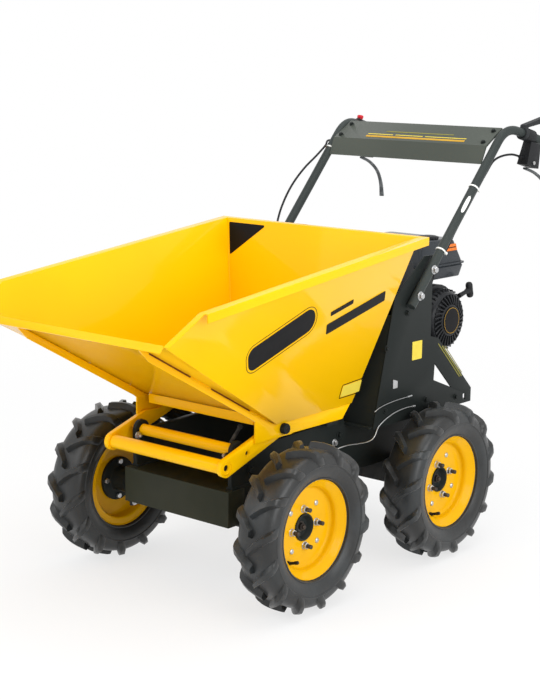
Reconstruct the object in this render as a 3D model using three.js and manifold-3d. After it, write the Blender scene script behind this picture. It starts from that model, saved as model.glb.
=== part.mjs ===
// Walk-behind four-wheel-drive site dumper: a petrol power barrow with a steel skip that tips
// forward in two stages, first on the tip frame and then on the pin at the tip frame's rear end.
// Millimetres. +X is forward, +Y is the machine's left, +Z is up, and the wheels stand on Z = 0.
import * as THREE from "three";
import { mergeVertices } from "three/addons/utils/BufferGeometryUtils.js";
import Module from "manifold-3d";

const wasm = await Module();
wasm.setup();

// ---------------------------------------------------------------- driving dimensions

const GAP = 0.3; // between pieces that touch
const RUNNING_CLEARANCE = 0.6; // round a shaft that turns in a hole

// wheels
const WHEELBASE = 555;
const TRACK = 624; // between the middles of the tyres
const TYRE_RADIUS = 203;
const TYRE_WIDTH = 110;
const WHEEL_SIDES = 30;
const RIM_FLANGE_RADIUS = 119;
const RIM_SEAT_RADIUS = 101;
const RIM_WIDTH = 72;
const RIM_SHEET = 3;
const HUB_BORE_RADIUS = 33;
const HUB_FLANGE_RADIUS = 56;
const AXLE_SHAFT_RADIUS = 15;

// axle housings and frame
const HOUSING_SIZE = 60; // square section
const HOUSING_END = 212; // end of the square section, from the middle of the machine
const BEARING_END = 240;
const RAIL_INNER = 146; // inner face of a frame rail, from the middle of the machine
const RAIL_THICKNESS = 20;
const RAIL_DEPTH = 52;
const RAIL_FRONT = 362;
const RAIL_REAR = -480;
const RAIL_CREST = 376; // top of the rails under the skip
const GUARD_FRONT = 382;
const GUARD_SHEET = 4;
const GUARD_LOW = 192;
const GUARD_DROP = 6; // of its top below the rails' front ends
const DECK_HEIGHT = 360; // underside of the engine deck
const DECK_SHEET = 6;

// engine bay side plates
const SIDE_PLATE_OUTER = 248;
const SIDE_PLATE_SHEET = 4;
const BAY_FRONT = -72; // front edge of the side plates at deck height
const BAY_REAR = -515;
const SHIELD_TOP = 640;

// skip: the points lie on its outer faces, in side view
const SKIP_SHEET = 3;
const FLOOR_HEIGHT = 425;
const FLOOR_REAR = -48;
const FLOOR_FRONT = 253;
const FLOOR_HALF_WIDTH = 198; // at the floor's rear edge
const RIM_REAR = { x: -150, z: 843 };
const RIM_FRONT = { x: 637, z: 751 };
const LIP = { x: 730, z: 689 };
const RIM_HALF_WIDTH = 317; // where the side walls meet the rim flange
const RIM_FLANGE_WIDTH = 22;
const RIM_FLANGE_DROP = 20;
const REAR_FLANGE_WIDTH = 11;
const FRONT_FOLD = 12;
const LIP_FOLD = 15;

// tip frame
const PIVOT = { x: 340, z: 369 }; // tip frame on the chassis
const SKIP_PIN = { x: 218, z: 408 }; // skip on the tip frame
const ARM_REACH = 74.3; // from the pivot to the front tube
const ARM_OUTER = 191;
const ARM_THICKNESS = 12;
const ARM_HALF_DEPTH = 22;
const FRONT_TUBE_RADIUS = 17;
const FRONT_TUBE_WALL = 4;
const PIVOT_TUBE_RADIUS = 14;
const PIN_RADIUS = 8;
const LUG_RADIUS = 24;
const LUG_THICKNESS = 12;
const BRACKET_SHEET = 5;
const BRACKET_FRONT = 318;
const BRACKET_LOW = 388;
const SKIP_RAIL_LOW = 390;
const SLOPE_BEAM_DEPTH = 20;

// handlebar
const TUBE_RADIUS = 12;
const GRIP_RADIUS = 16;
const GRIP_LENGTH = 125;
const HANDLE_BEND_RADIUS = 90;
const HANDLE_FOOT = { x: -204, z: 657 };
const HANDLE_CORNER = { x: -607, z: 1096 };
const HANDLE_TIP = { x: -890, z: 1021 };
const BEND_SPLAY = 8; // how much further out the tubes are at their bends than at their feet
const GRIP_SPLAY = 36; // and at the grips
const PERCH_PLACE = 104; // of the lever's clamp, from the bend's corner
const CABLE_RADIUS = 3;
const WIRE_RADIUS = 1.75;

// engine
const CRANK = { x: -462, z: 584 };
const ENGINE_BASE = 478;
const CRANKCASE_HALF_WIDTH = 110;
const RECOIL_RADIUS = 80;
const RECOIL_INNER = 165;
const RECOIL_OUTER = 214;
const TANK_TOP = 794;

// ---------------------------------------------------------------- sizes that follow

const AXLE_HEIGHT = TYRE_RADIUS * Math.cos(Math.PI / WHEEL_SIDES);
const WHEEL_X = WHEELBASE / 2;
const WHEEL_Y = TRACK / 2;
const HOUSING_TOP = AXLE_HEIGHT + HOUSING_SIZE / 2;
const RAIL_LOW = HOUSING_TOP + GAP;
const RAIL_TOP = RAIL_LOW + RAIL_DEPTH;
const RAIL_OUTER = RAIL_INNER + RAIL_THICKNESS;
const ARM_INNER = ARM_OUTER - ARM_THICKNESS;
const BRACKET_INNER = ARM_OUTER + 1;
const BRACKET_OUTER = BRACKET_INNER + BRACKET_SHEET;
const SIDE_PLATE_INNER = SIDE_PLATE_OUTER - SIDE_PLATE_SHEET;
const HANDLE_Y = SIDE_PLATE_OUTER + TUBE_RADIUS + GAP;
const DECK_TOP = DECK_HEIGHT + DECK_SHEET;

// ---------------------------------------------------------------- colours

const YELLOW = [0xf6b900, 0.38, 0.0];
const BLACK = [0x25272a, 0.5, 0.0];
const OLIVE = [0x3a3c34, 0.55, 0.0];
const GREY = [0x54564f, 0.5, 0.0];
const CAST = [0x3b3d40, 0.6, 0.3];
const PLASTIC = [0x1b1c1e, 0.6, 0.0];
const TYRE = [0x222325, 0.9, 0.0];
const STEEL = [0xb9bbbd, 0.35, 0.9];
const RED = [0xc01818, 0.45, 0.0];

// ---------------------------------------------------------------- solids

// A manifold-3d solid of a closed geometry.
function solidOf(geometry) {
  const bare = geometry.clone();
  bare.deleteAttribute("normal");
  bare.deleteAttribute("uv");
  const merged = mergeVertices(bare, 1e-3);
  const vertProperties = merged.attributes.position.array;
  const triVerts = new Uint32Array(merged.index.array);
  return new wasm.Manifold(new wasm.Mesh({ numProp: 3, vertProperties, triVerts }));
}

// A three.js geometry of a manifold-3d solid.
function geometryOf(solid) {
  const mesh = solid.getMesh();
  const positions = [];
  for (let i = 0; i < mesh.numVert; i++) {
    positions.push(...mesh.vertProperties.slice(i * mesh.numProp, i * mesh.numProp + 3));
  }
  const geometry = new THREE.BufferGeometry();
  geometry.setAttribute("position", new THREE.Float32BufferAttribute(positions, 3));
  geometry.setIndex([...mesh.triVerts]);
  geometry.computeVertexNormals();
  return geometry;
}

function join(...geometries) {
  return geometryOf(geometries.map(solidOf).reduce((sum, solid) => sum.add(solid)));
}

function cut(geometry, ...tools) {
  return geometryOf(tools.map(solidOf).reduce((rest, solid) => rest.subtract(solid), solidOf(geometry)));
}

// A box between two values on each axis.
function block(x0, x1, y0, y1, z0, z1) {
  const box = new THREE.BoxGeometry(x1 - x0, y1 - y0, z1 - z0);
  return box.translate((x0 + x1) / 2, (y0 + y1) / 2, (z0 + z1) / 2);
}

// A block whose top face is drawn in by an inset on all four sides.
function frustum(x0, x1, y0, y1, z0, z1, inset) {
  const geometry = block(x0, x1, y0, y1, z0, z1);
  const position = geometry.attributes.position;
  for (let i = 0; i < position.count; i++) {
    if (position.getZ(i) > (z0 + z1) / 2) {
      position.setX(i, position.getX(i) - Math.sign(position.getX(i) - (x0 + x1) / 2) * inset);
      position.setY(i, position.getY(i) - Math.sign(position.getY(i) - (y0 + y1) / 2) * inset);
    }
  }
  return geometry;
}

// A side-view shape, x against z, made a plate between two values of y.
function plate(shape, y0, y1, curveSegments = 6) {
  const options = { depth: y1 - y0, bevelEnabled: false, curveSegments };
  return new THREE.ExtrudeGeometry(shape, options).rotateX(Math.PI / 2).translate(0, y1, 0);
}

function outline(...points) {
  return new THREE.Shape(points.map(([x, z]) => new THREE.Vector2(x, z)));
}

// A cylinder along y.
function bar(radius, x, z, y0, y1, sides = 24) {
  return new THREE.CylinderGeometry(radius, radius, y1 - y0, sides).translate(x, (y0 + y1) / 2, z);
}

// A cylinder along z.
function post(radius, x, y, z0, z1, sides = 24) {
  const cylinder = new THREE.CylinderGeometry(radius, radius, z1 - z0, sides);
  return cylinder.rotateX(Math.PI / 2).translate(x, y, (z0 + z1) / 2);
}

// A cylinder along x.
function shaft(radius, x0, x1, y, z, sides = 24) {
  const cylinder = new THREE.CylinderGeometry(radius, radius, x1 - x0, sides);
  return cylinder.rotateZ(Math.PI / 2).translate((x0 + x1) / 2, y, z);
}

// A ring about the y axis from a closed profile of [radius, y] corners, with a flat at the bottom.
function turned(profile, sides) {
  const points = profile.map(([radius, y]) => new THREE.Vector2(radius, y));
  if (THREE.ShapeUtils.area(points) < 0) points.reverse();
  if (profile[0][0] > 0) points.push(points[0].clone());
  return new THREE.LatheGeometry(points, sides, Math.PI / sides);
}

// A round rod or a flat strip swept along a curve.
function swept(curve, section, steps) {
  return new THREE.ExtrudeGeometry(section, { steps, extrudePath: curve, bevelEnabled: false });
}

function disc(radius, sides) {
  const corner = (_, i) => {
    const turn = (2 * Math.PI * i) / sides;
    return new THREE.Vector2(radius * Math.cos(turn), radius * Math.sin(turn));
  };
  return new THREE.Shape(Array.from({ length: sides }, corner));
}

// The same geometry on the other side of the machine, its faces turned out again.
function mirrored(geometry) {
  const copy = (geometry.index ? geometry.toNonIndexed() : geometry.clone()).scale(1, -1, 1);
  const position = copy.attributes.position;
  for (let i = 0; i < position.count; i += 3) {
    const [x, y, z] = [position.getX(i), position.getY(i), position.getZ(i)];
    position.setXYZ(i, position.getX(i + 1), position.getY(i + 1), position.getZ(i + 1));
    position.setXYZ(i + 1, x, y, z);
  }
  copy.computeVertexNormals();
  return copy;
}

// ---------------------------------------------------------------- the scene graph

const machine = new THREE.Group();

function add(name, geometry, [color, roughness, metalness], parent = machine) {
  const material = new THREE.MeshStandardMaterial({ color, roughness, metalness });
  const mesh = new THREE.Mesh(geometry, material);
  mesh.name = name;
  parent.add(mesh);
  return mesh;
}

// The same piece on the left and, mirrored, on the right.
function addPair(name, geometry, finish) {
  add(name + "_left", geometry, finish);
  add(name + "_right", mirrored(geometry), finish);
}

// ---------------------------------------------------------------- wheels

// The profiles run from the middle of the tyre, +y outboard.
function tyreGeometry() {
  const half = TYRE_WIDTH / 2;
  const bead = RIM_WIDTH / 2 - RIM_SHEET;
  const side = [
    [RIM_SEAT_RADIUS + GAP, bead - 2.5],
    [RIM_FLANGE_RADIUS + 1.5, bead - 0.6],
    [TYRE_RADIUS * 0.7, half * 0.96],
    [TYRE_RADIUS * 0.87, half],
    [TYRE_RADIUS * 0.985, half * 0.76],
    [TYRE_RADIUS, half * 0.45],
  ];
  const otherSide = side.map(([radius, y]) => [radius, -y]).reverse();
  return turned([...otherSide, ...side], WHEEL_SIDES);
}

function rimGeometry() {
  const edge = RIM_WIDTH / 2;
  const inside = RIM_SEAT_RADIUS - RIM_SHEET;
  const profile = [
    [RIM_FLANGE_RADIUS, edge],
    [RIM_FLANGE_RADIUS, edge - RIM_SHEET],
    [RIM_SEAT_RADIUS, edge - RIM_SHEET - 2],
    [RIM_SEAT_RADIUS, -edge + RIM_SHEET + 2],
    [RIM_FLANGE_RADIUS, -edge + RIM_SHEET],
    [RIM_FLANGE_RADIUS, -edge],
    [inside, -edge],
    [inside, -RIM_SHEET],
    [HUB_BORE_RADIUS, -RIM_SHEET],
    [HUB_BORE_RADIUS, RIM_SHEET / 3],
    [inside, RIM_SHEET / 3],
    [inside, edge],
  ];
  return turned(profile, WHEEL_SIDES);
}

// Flange behind the wheel disc, nose through its hole, and the half shaft into the housing.
function hubGeometry() {
  const inBearing = BEARING_END - 15 - WHEEL_Y;
  const barrelStart = BEARING_END + 12 - WHEEL_Y;
  const flange = -RIM_SHEET - GAP;
  const profile = [
    [0, inBearing],
    [AXLE_SHAFT_RADIUS, inBearing],
    [AXLE_SHAFT_RADIUS, barrelStart],
    [AXLE_SHAFT_RADIUS * 2, barrelStart],
    [AXLE_SHAFT_RADIUS * 2, flange - 8],
    [HUB_FLANGE_RADIUS, flange - 8],
    [HUB_FLANGE_RADIUS, flange],
    [HUB_BORE_RADIUS - GAP, flange],
    [HUB_BORE_RADIUS - GAP, 3],
    [HUB_BORE_RADIUS - 3, 5],
    [0, 5],
  ];
  return turned(profile, 20);
}

function addWheel(end, side) {
  const wheel = new THREE.Group();
  wheel.position.set(end === "front" ? WHEEL_X : -WHEEL_X, side === "left" ? WHEEL_Y : -WHEEL_Y, AXLE_HEIGHT);
  machine.add(wheel);
  const facing = (geometry) => (side === "left" ? geometry : mirrored(geometry));
  add(`tyre_${end}_${side}`, facing(tyreGeometry()), TYRE, wheel);
  add(`rim_${end}_${side}`, facing(rimGeometry()), YELLOW, wheel);
  add(`hub_${end}_${side}`, facing(hubGeometry()), BLACK, wheel);
}

// ---------------------------------------------------------------- chassis

// A square beam across the machine, with a bolted flange and a bearing tube at each end.
function axleHousing(x) {
  const half = HOUSING_SIZE / 2;
  const beam = block(x - half, x + half, -HOUSING_END, HOUSING_END, AXLE_HEIGHT - half, HOUSING_TOP);
  const ends = [-1, 1].flatMap((side) => {
    const [inner, outer] = [HOUSING_END - 4, HOUSING_END + 4].map((y) => y * side).sort((a, b) => a - b);
    const flange = block(x - 45, x + 45, inner, outer, AXLE_HEIGHT - 45, AXLE_HEIGHT + 27);
    const tube = bar(AXLE_SHAFT_RADIUS * 1.9, x, AXLE_HEIGHT, ...ordered(side * 200, side * BEARING_END));
    return [flange, tube];
  });
  const boreRadius = AXLE_SHAFT_RADIUS + RUNNING_CLEARANCE;
  const bores = [-1, 1].map((side) => {
    return bar(boreRadius, x, AXLE_HEIGHT, ...ordered(side * (BEARING_END - 16), side * (BEARING_END + 5)));
  });
  return cut(join(beam, ...ends), ...bores);
}

function ordered(a, b) {
  return a < b ? [a, b] : [b, a];
}

// A rail is deep under the skip and the engine deck. It carries the pivot lug of the tip frame at
// its front and, behind that, the pad that the skip rests on.
function railGeometry() {
  const restTop = SKIP_RAIL_LOW - GAP;
  const shape = new THREE.Shape();
  shape.moveTo(RAIL_REAR, RAIL_LOW);
  shape.lineTo(RAIL_FRONT, RAIL_LOW);
  shape.lineTo(PIVOT.x + LUG_RADIUS, PIVOT.z);
  shape.absarc(PIVOT.x, PIVOT.z, LUG_RADIUS, 0, Math.PI * 0.9, false);
  shape.lineTo(PIVOT.x - LUG_RADIUS - 6, RAIL_CREST - 8);
  shape.lineTo(58, RAIL_CREST);
  shape.lineTo(52, restTop - 4);
  shape.lineTo(8, restTop - 4);
  shape.lineTo(2, RAIL_CREST);
  shape.lineTo(BAY_FRONT + 12, RAIL_CREST);
  shape.lineTo(BAY_FRONT + 8 + GAP, DECK_HEIGHT - GAP);
  shape.lineTo(RAIL_REAR, DECK_HEIGHT - GAP);
  const rail = plate(shape, RAIL_INNER, RAIL_OUTER);
  const pad = block(8, 52, RAIL_INNER, BRACKET_OUTER + 3, restTop - 8, restTop);
  const hole = bar(PIN_RADIUS + RUNNING_CLEARANCE, PIVOT.x, PIVOT.z, RAIL_INNER - 5, RAIL_OUTER + 5);
  const relief = block(PIVOT.x - 40, RAIL_FRONT + 5, RAIL_INNER + 17, RAIL_OUTER + 5, RAIL_TOP, 400);
  const seat = block(PIVOT.x - 40, RAIL_FRONT + 5, RAIL_INNER - 5, RAIL_INNER + 5, RAIL_TOP, 400);
  return cut(join(rail, pad), hole, relief, seat);
}

// Front cover of the axle: a face plate with side returns and a top plate between the rails.
function frontGuard() {
  const half = RAIL_OUTER + 1 + GUARD_SHEET;
  const back = GUARD_FRONT - GUARD_SHEET;
  const height = RAIL_TOP - GUARD_DROP;
  const face = block(back, GUARD_FRONT, -half, half, GUARD_LOW, height);
  const flange = block(RAIL_FRONT + 1, GUARD_FRONT, -half, half, height - GUARD_SHEET, height);
  const inner = RAIL_INNER - GAP;
  const top = block(WHEEL_X - 40, GUARD_FRONT, -inner, inner, height - GUARD_SHEET, height);
  const left = block(WHEEL_X + 48, GUARD_FRONT, half - GUARD_SHEET, half, GUARD_LOW, height);
  return join(face, flange, top, left, mirrored(left));
}

function gearboxGeometry() {
  const case_ = frustum(-165, -15, -85, 85, 170, 335, 12);
  const feet = block(-140, -40, -RAIL_INNER + GAP, RAIL_INNER - GAP, RAIL_LOW + 8, RAIL_LOW + 20);
  const snout = shaft(24, -WHEEL_X + HOUSING_SIZE / 2 + GAP, -100, 0, AXLE_HEIGHT);
  return join(case_, feet, snout);
}

// Upright panel, base strip and diagonal brace in one sheet, with a triangular window.
function sidePlate() {
  const shape = outline(
    [BAY_FRONT, DECK_HEIGHT],
    [BAY_FRONT - 78, DECK_HEIGHT + 320],
    [BAY_FRONT - 118, DECK_HEIGHT + 355],
    [BAY_FRONT - 205, DECK_HEIGHT + 418],
    [BAY_FRONT - 243, DECK_HEIGHT + 418],
    [BAY_FRONT - 243, DECK_HEIGHT + 205],
    [BAY_FRONT - 278, DECK_HEIGHT + 196],
    [BAY_REAR, DECK_HEIGHT + 38],
    [BAY_REAR, DECK_HEIGHT],
  );
  const window_ = outline(
    [BAY_FRONT - 266, DECK_HEIGHT + 130],
    [BAY_FRONT - 263, DECK_HEIGHT + 86],
    [BAY_FRONT - 346, DECK_HEIGHT + 54],
  );
  const [slotX, slotZ] = [BAY_REAR + 33, DECK_HEIGHT + 18];
  const slot = outline(
    [slotX - 6, slotZ - 8],
    [slotX - 6, slotZ + 8],
    [slotX + 5, slotZ + 8],
    [slotX + 5, slotZ - 8],
  );
  shape.holes.push(new THREE.Path(window_.getPoints()), new THREE.Path(slot.getPoints()));
  return plate(shape, SIDE_PLATE_INNER, SIDE_PLATE_OUTER);
}

// The sheet between the skip and the engine leans back with the front edges of the side plates.
function engineShield() {
  const lean = -78 / 320;
  const foot = BAY_FRONT + lean * (DECK_SHEET + GAP);
  const top = BAY_FRONT + lean * (SHIELD_TOP - DECK_HEIGHT);
  const shape = outline(
    [foot, DECK_TOP + GAP],
    [top, SHIELD_TOP],
    [top - SIDE_PLATE_SHEET, SHIELD_TOP],
    [foot - SIDE_PLATE_SHEET, DECK_TOP + GAP],
  );
  return plate(shape, -SIDE_PLATE_INNER + GAP, SIDE_PLATE_INNER - GAP);
}

function addChassis() {
  addPair("frame_rail", railGeometry(), BLACK);
  add("front_axle_housing", axleHousing(WHEEL_X), CAST);
  add("rear_axle_housing", axleHousing(-WHEEL_X), CAST);
  add("front_guard", frontGuard(), OLIVE);
  add("gearbox", gearboxGeometry(), CAST);
  const driveEnd = WHEEL_X - HOUSING_SIZE / 2 - GAP;
  add("drive_shaft_tube", shaft(20, -15 + GAP, driveEnd, 0, AXLE_HEIGHT), CAST);
  const deckHalf = SIDE_PLATE_INNER - GAP;
  add("engine_deck", block(BAY_REAR, BAY_FRONT + 8, -deckHalf, deckHalf, DECK_HEIGHT, DECK_TOP), BLACK);
  addPair("side_plate", sidePlate(), BLACK);
  add("engine_shield", engineShield(), BLACK);
}

// ---------------------------------------------------------------- engine

function engineBlock() {
  const half = CRANKCASE_HALF_WIDTH;
  const crankcase = block(CRANK.x - 83, CRANK.x + 77, -half, half, ENGINE_BASE, CRANK.z + 56);
  const head = block(CRANK.x + 70, CRANK.x + 197, -70, 70, CRANK.z - 39, CRANK.z + 66);
  const tankSeat = block(CRANK.x - 58, CRANK.x + 62, -40, 100, CRANK.z + 50, CRANK.z + 106 - GAP);
  return join(crankcase, head, tankSeat);
}

// Round housing of the fan, with a squared corner over the cylinder.
function fanCowl() {
  const [y0, y1] = [CRANKCASE_HALF_WIDTH + GAP, RECOIL_INNER - GAP];
  const round = bar(RECOIL_RADIUS + 12, CRANK.x, CRANK.z, y0, y1, 28);
  const corner = block(CRANK.x, CRANK.x + 110, y0, y1, CRANK.z + 5, CRANK.z + 88);
  return join(round, corner);
}

function recoilStarter() {
  const profile = [
    [0, RECOIL_INNER],
    [RECOIL_RADIUS, RECOIL_INNER],
    [RECOIL_RADIUS + 3, RECOIL_INNER + 14],
    [RECOIL_RADIUS - 4, RECOIL_OUTER - 16],
    [RECOIL_RADIUS * 0.75, RECOIL_OUTER - 5],
    [RECOIL_RADIUS * 0.4, RECOIL_OUTER],
    [0, RECOIL_OUTER],
  ];
  return turned(profile, 28).translate(CRANK.x, 0, CRANK.z);
}

// A neck that runs back out of the starter's rim, with a cross bar on its end.
function starterHandle() {
  const neck = new THREE.CylinderGeometry(7, 7, 74, 12).translate(0, 7, 0);
  const grip = new THREE.CapsuleGeometry(11, 25, 4, 12).rotateZ(Math.PI / 2).translate(0, 48, 0);
  const handle = join(neck, grip).rotateX(Math.PI / 2).rotateY(-1.35);
  handle.translate(CRANK.x - 78, (RECOIL_INNER + RECOIL_OUTER) / 2 - 4, CRANK.z + 56);
  return cut(handle, bar(RECOIL_RADIUS + 3 + GAP, CRANK.x, CRANK.z, RECOIL_INNER, RECOIL_OUTER, 28));
}

// Two half shells that meet in a seam flange.
function fuelTank() {
  const [x0, x1, y0, y1] = [CRANK.x - 110, CRANK.x + 87, -80, 170];
  const low = CRANK.z + 106;
  const lower = frustum(x0, x1, y0, y1, low, low + 38, -4);
  const seam = block(x0 - 8, x1 + 8, y0 - 8, y1 + 8, low + 36, low + 41);
  const upper = frustum(x0, x1, y0, y1, low + 40, TANK_TOP, 16);
  return join(lower, seam, upper);
}

function airFilter() {
  const [x0, x1] = [CRANK.x + 110, CRANK.x + 220];
  const low = CRANK.z + 66 + GAP;
  const body = frustum(x0, x1, 40, 178, low, low + 100, 10);
  return join(body, post(9, (x0 + x1) / 2, 110, low + 95, low + 118, 12));
}

function muffler() {
  const [x0, x1] = [CRANK.x + 105, CRANK.x + 215];
  const low = CRANK.z + 66 + GAP;
  const can = frustum(x0, x1, -195, -30, low, low + 88, 8);
  return join(can, shaft(13, x0 - 30, x0 + 5, -150, low + 45, 14));
}

// Cover of the belt from the crankshaft down to the gearbox's input.
function beltCover() {
  const shape = new THREE.Shape();
  const lean = Math.atan2(190, -130);
  shape.absarc(CRANK.x, CRANK.z, 72, lean - Math.PI / 2, lean + Math.PI / 2, false);
  shape.absarc(CRANK.x + 130, CRANK.z - 150, 58, lean + Math.PI / 2, lean + (Math.PI * 3) / 2, false);
  return plate(shape, -CRANKCASE_HALF_WIDTH - 80, -CRANKCASE_HALF_WIDTH - GAP, 12);
}

function addEngine() {
  const mountHalf = CRANKCASE_HALF_WIDTH - 10;
  const mountTop = ENGINE_BASE - GAP;
  const [x0, x1] = [CRANK.x - 75, CRANK.x + 70];
  add("engine_mount", frustum(x0, x1, -mountHalf, mountHalf, DECK_TOP + GAP, mountTop, 12), BLACK);
  add("engine_block", engineBlock(), CAST);
  add("fan_cowl", fanCowl(), BLACK);
  add("recoil_starter", recoilStarter(), BLACK);
  add("starter_handle", starterHandle(), PLASTIC);
  add("fuel_tank", fuelTank(), BLACK);
  add("fuel_cap", post(28, CRANK.x - 18, 118, TANK_TOP + GAP, TANK_TOP + 9), PLASTIC);
  add("air_filter", airFilter(), PLASTIC);
  add("muffler", muffler(), CAST);
  add("belt_cover", beltCover(), BLACK);
}

// ---------------------------------------------------------------- handlebar

// A point in side view as a vector, at a distance from the middle of the machine.
function at({ x, z }, y) {
  return new THREE.Vector3(x, y, z);
}

const FOOT_POINT = at(HANDLE_FOOT, HANDLE_Y);
const CORNER_POINT = at(HANDLE_CORNER, HANDLE_Y + BEND_SPLAY);
const TIP_POINT = at(HANDLE_TIP, HANDLE_Y + GRIP_SPLAY);
const TUBE_DOWN = FOOT_POINT.clone().sub(CORNER_POINT).normalize();
const TUBE_BACK = TIP_POINT.clone().sub(CORNER_POINT).normalize();

// The centre line of a handle tube: straight, one bend, straight.
function handlePath() {
  const tangentLength = HANDLE_BEND_RADIUS / Math.tan(TUBE_DOWN.angleTo(TUBE_BACK) / 2);
  const start = CORNER_POINT.clone().addScaledVector(TUBE_DOWN, tangentLength);
  const end = CORNER_POINT.clone().addScaledVector(TUBE_BACK, tangentLength);
  const path = new THREE.CurvePath();
  path.add(new THREE.LineCurve3(FOOT_POINT, start));
  path.add(new THREE.QuadraticBezierCurve3(start, CORNER_POINT, end));
  path.add(new THREE.LineCurve3(end, TIP_POINT));
  return path;
}

// Moves a piece that is drawn round the x axis onto the left tube behind its bend, with +x towards
// the grip, at a distance from the bend's corner.
function onTube(geometry, distance) {
  const across = new THREE.Vector3(0, 0, 1).cross(TUBE_BACK).normalize();
  const upward = TUBE_BACK.clone().cross(across);
  const basis = new THREE.Matrix4().makeBasis(TUBE_BACK, across, upward);
  return geometry.applyMatrix4(basis.setPosition(CORNER_POINT.clone().addScaledVector(TUBE_BACK, distance)));
}

// A folded sheet between the handle tubes: an upper face that slopes back and a lower front face.
function consoleGeometry() {
  const sheet = 3;
  const shape = outline(
    [-514, 1000],
    [-534, 1048],
    [-612, 1092],
    [-615, 1092 - sheet],
    [-536 - sheet, 1046 - sheet],
    [-514 - sheet, 1000],
  );
  const half = HANDLE_Y + BEND_SPLAY * 0.77 - TUBE_RADIUS - GAP;
  return plate(shape, -half, half);
}

// A sleeve on the end of the handle tube, with a collar at its front and a closed rear end.
function gripGeometry() {
  const bore = TUBE_RADIUS + GAP;
  const profile = [
    [bore, 0],
    [GRIP_RADIUS + 5, 0],
    [GRIP_RADIUS + 5, 5],
    [GRIP_RADIUS, 8],
    [GRIP_RADIUS, GRIP_LENGTH - 6],
    [GRIP_RADIUS - 5, GRIP_LENGTH],
    [0, GRIP_LENGTH],
    [0, GRIP_LENGTH - 8],
    [bore, GRIP_LENGTH - 8],
  ];
  const sleeve = turned(profile, 18).rotateZ(-Math.PI / 2);
  return onTube(sleeve, TIP_POINT.distanceTo(CORNER_POINT) - GRIP_LENGTH + 8 + GAP);
}

function clampRing(half) {
  const ring = bar(TUBE_RADIUS + 6, 0, 0, -half, half, 18).rotateZ(Math.PI / 2);
  const bore = bar(TUBE_RADIUS + GAP, 0, 0, -half - 5, half + 5, 18).rotateZ(Math.PI / 2);
  return { ring, bore };
}

// Clamp round the tube and the lever's housing below it.
function leverPerch() {
  const { ring, bore } = clampRing(17);
  const body = frustum(-3, 50, -18, 18, -80, -TUBE_RADIUS - 3, 4);
  return onTube(cut(join(ring, body), bore), PERCH_PLACE);
}

// A curved flat lever out of the underside of the perch.
function clutchLever() {
  const places = [
    [14, -87.3],
    [64, -91],
    [114, -108],
    [144, -137],
    [162, -174],
  ];
  const curve = new THREE.CatmullRomCurve3(places.map(([x, z]) => new THREE.Vector3(x, 0, z)));
  return onTube(swept(curve, outline([-3, -7], [3, -7], [3, 7], [-3, 7]), 12), PERCH_PLACE);
}

// The left hand's second lever, clamped ahead of the first and held over the tube.
function driveLever() {
  const { ring, bore } = clampRing(7);
  const top = TUBE_RADIUS + 3;
  const arm = [
    [8, 7],
    [80, 38],
    [190, 48],
    [190, 60],
    [72, 51],
    [4, 16],
    [-7, 10],
  ].map(([x, above]) => [x, TUBE_RADIUS + above]);
  const blade = outline([-7, top], [7, top], ...arm);
  return onTube(cut(join(ring, plate(blade, -9, 9)), bore), PERCH_PLACE - 25);
}

// Engine stop switch on the right tube.
function stopSwitch() {
  const { ring, bore } = clampRing(11);
  const button = post(9, 0, 0, TUBE_RADIUS + 3, TUBE_RADIUS + 16, 16);
  return mirrored(onTube(cut(join(ring, button), bore), PERCH_PLACE - 29));
}

// A cable or wire through points, [x, y, z].
function cableGeometry(points, radius, steps) {
  const curve = new THREE.CatmullRomCurve3(points.map((point) => new THREE.Vector3(...point)));
  return swept(curve, disc(radius, 8), steps);
}

// A point beside the straight part of the left tube: so far up from its foot, and so far off its
// centre line, to the rear and below or, if negative, to the front and above.
function besideTube(distance, off) {
  const place = FOOT_POINT.clone().addScaledVector(TUBE_DOWN, -distance);
  return [place.x + TUBE_DOWN.z * off, place.y, place.z - TUBE_DOWN.x * off];
}

const BESIDE = TUBE_RADIUS + CABLE_RADIUS + 1;

// Where a cable leaves the front of the perch.
function cableStart() {
  const perch = onTube(new THREE.BufferGeometry().setFromPoints([new THREE.Vector3(-6, 0, -62)]), PERCH_PLACE);
  return [...perch.attributes.position.array];
}

// Along the rear of the tube, then down inside the side plate to the deck.
function leftCable() {
  const start = cableStart();
  const over = [start[0] + 48, HANDLE_Y + 9, start[2] + 10];
  const along = [
    [500, BESIDE + 7],
    [450, BESIDE + 1],
    [350, BESIDE],
    [250, BESIDE],
    [205, BESIDE + 3],
  ].map(([distance, off]) => besideTube(distance, off));
  const down = [
    [-352, HANDLE_Y - 22, 752],
    [-338, 222, 670],
    [-318, 224, 540],
    [-300, 224, DECK_TOP + GAP],
  ];
  return cableGeometry([start, over, ...along, ...down], CABLE_RADIUS, 44);
}

// Round the outside of the tube, bowed out in front of it, then over the side plate to the deck.
function rightCable() {
  const outside = besideTube(520, 6);
  outside[1] += BESIDE + 8;
  const bow = [
    [476, -BESIDE - 6],
    [430, -BESIDE - 18],
    [370, -BESIDE - 36],
    [305, -BESIDE - 46],
    [250, -BESIDE - 44],
    [205, -BESIDE - 34],
  ].map(([distance, off]) => besideTube(distance, off));
  const down = [
    [-268, HANDLE_Y - 18, 792],
    [-262, 230, 740],
    [-262, 224, 600],
    [-270, 224, DECK_TOP + GAP],
  ];
  return mirrored(cableGeometry([cableStart(), outside, ...bow, ...down], CABLE_RADIUS, 48));
}

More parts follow.
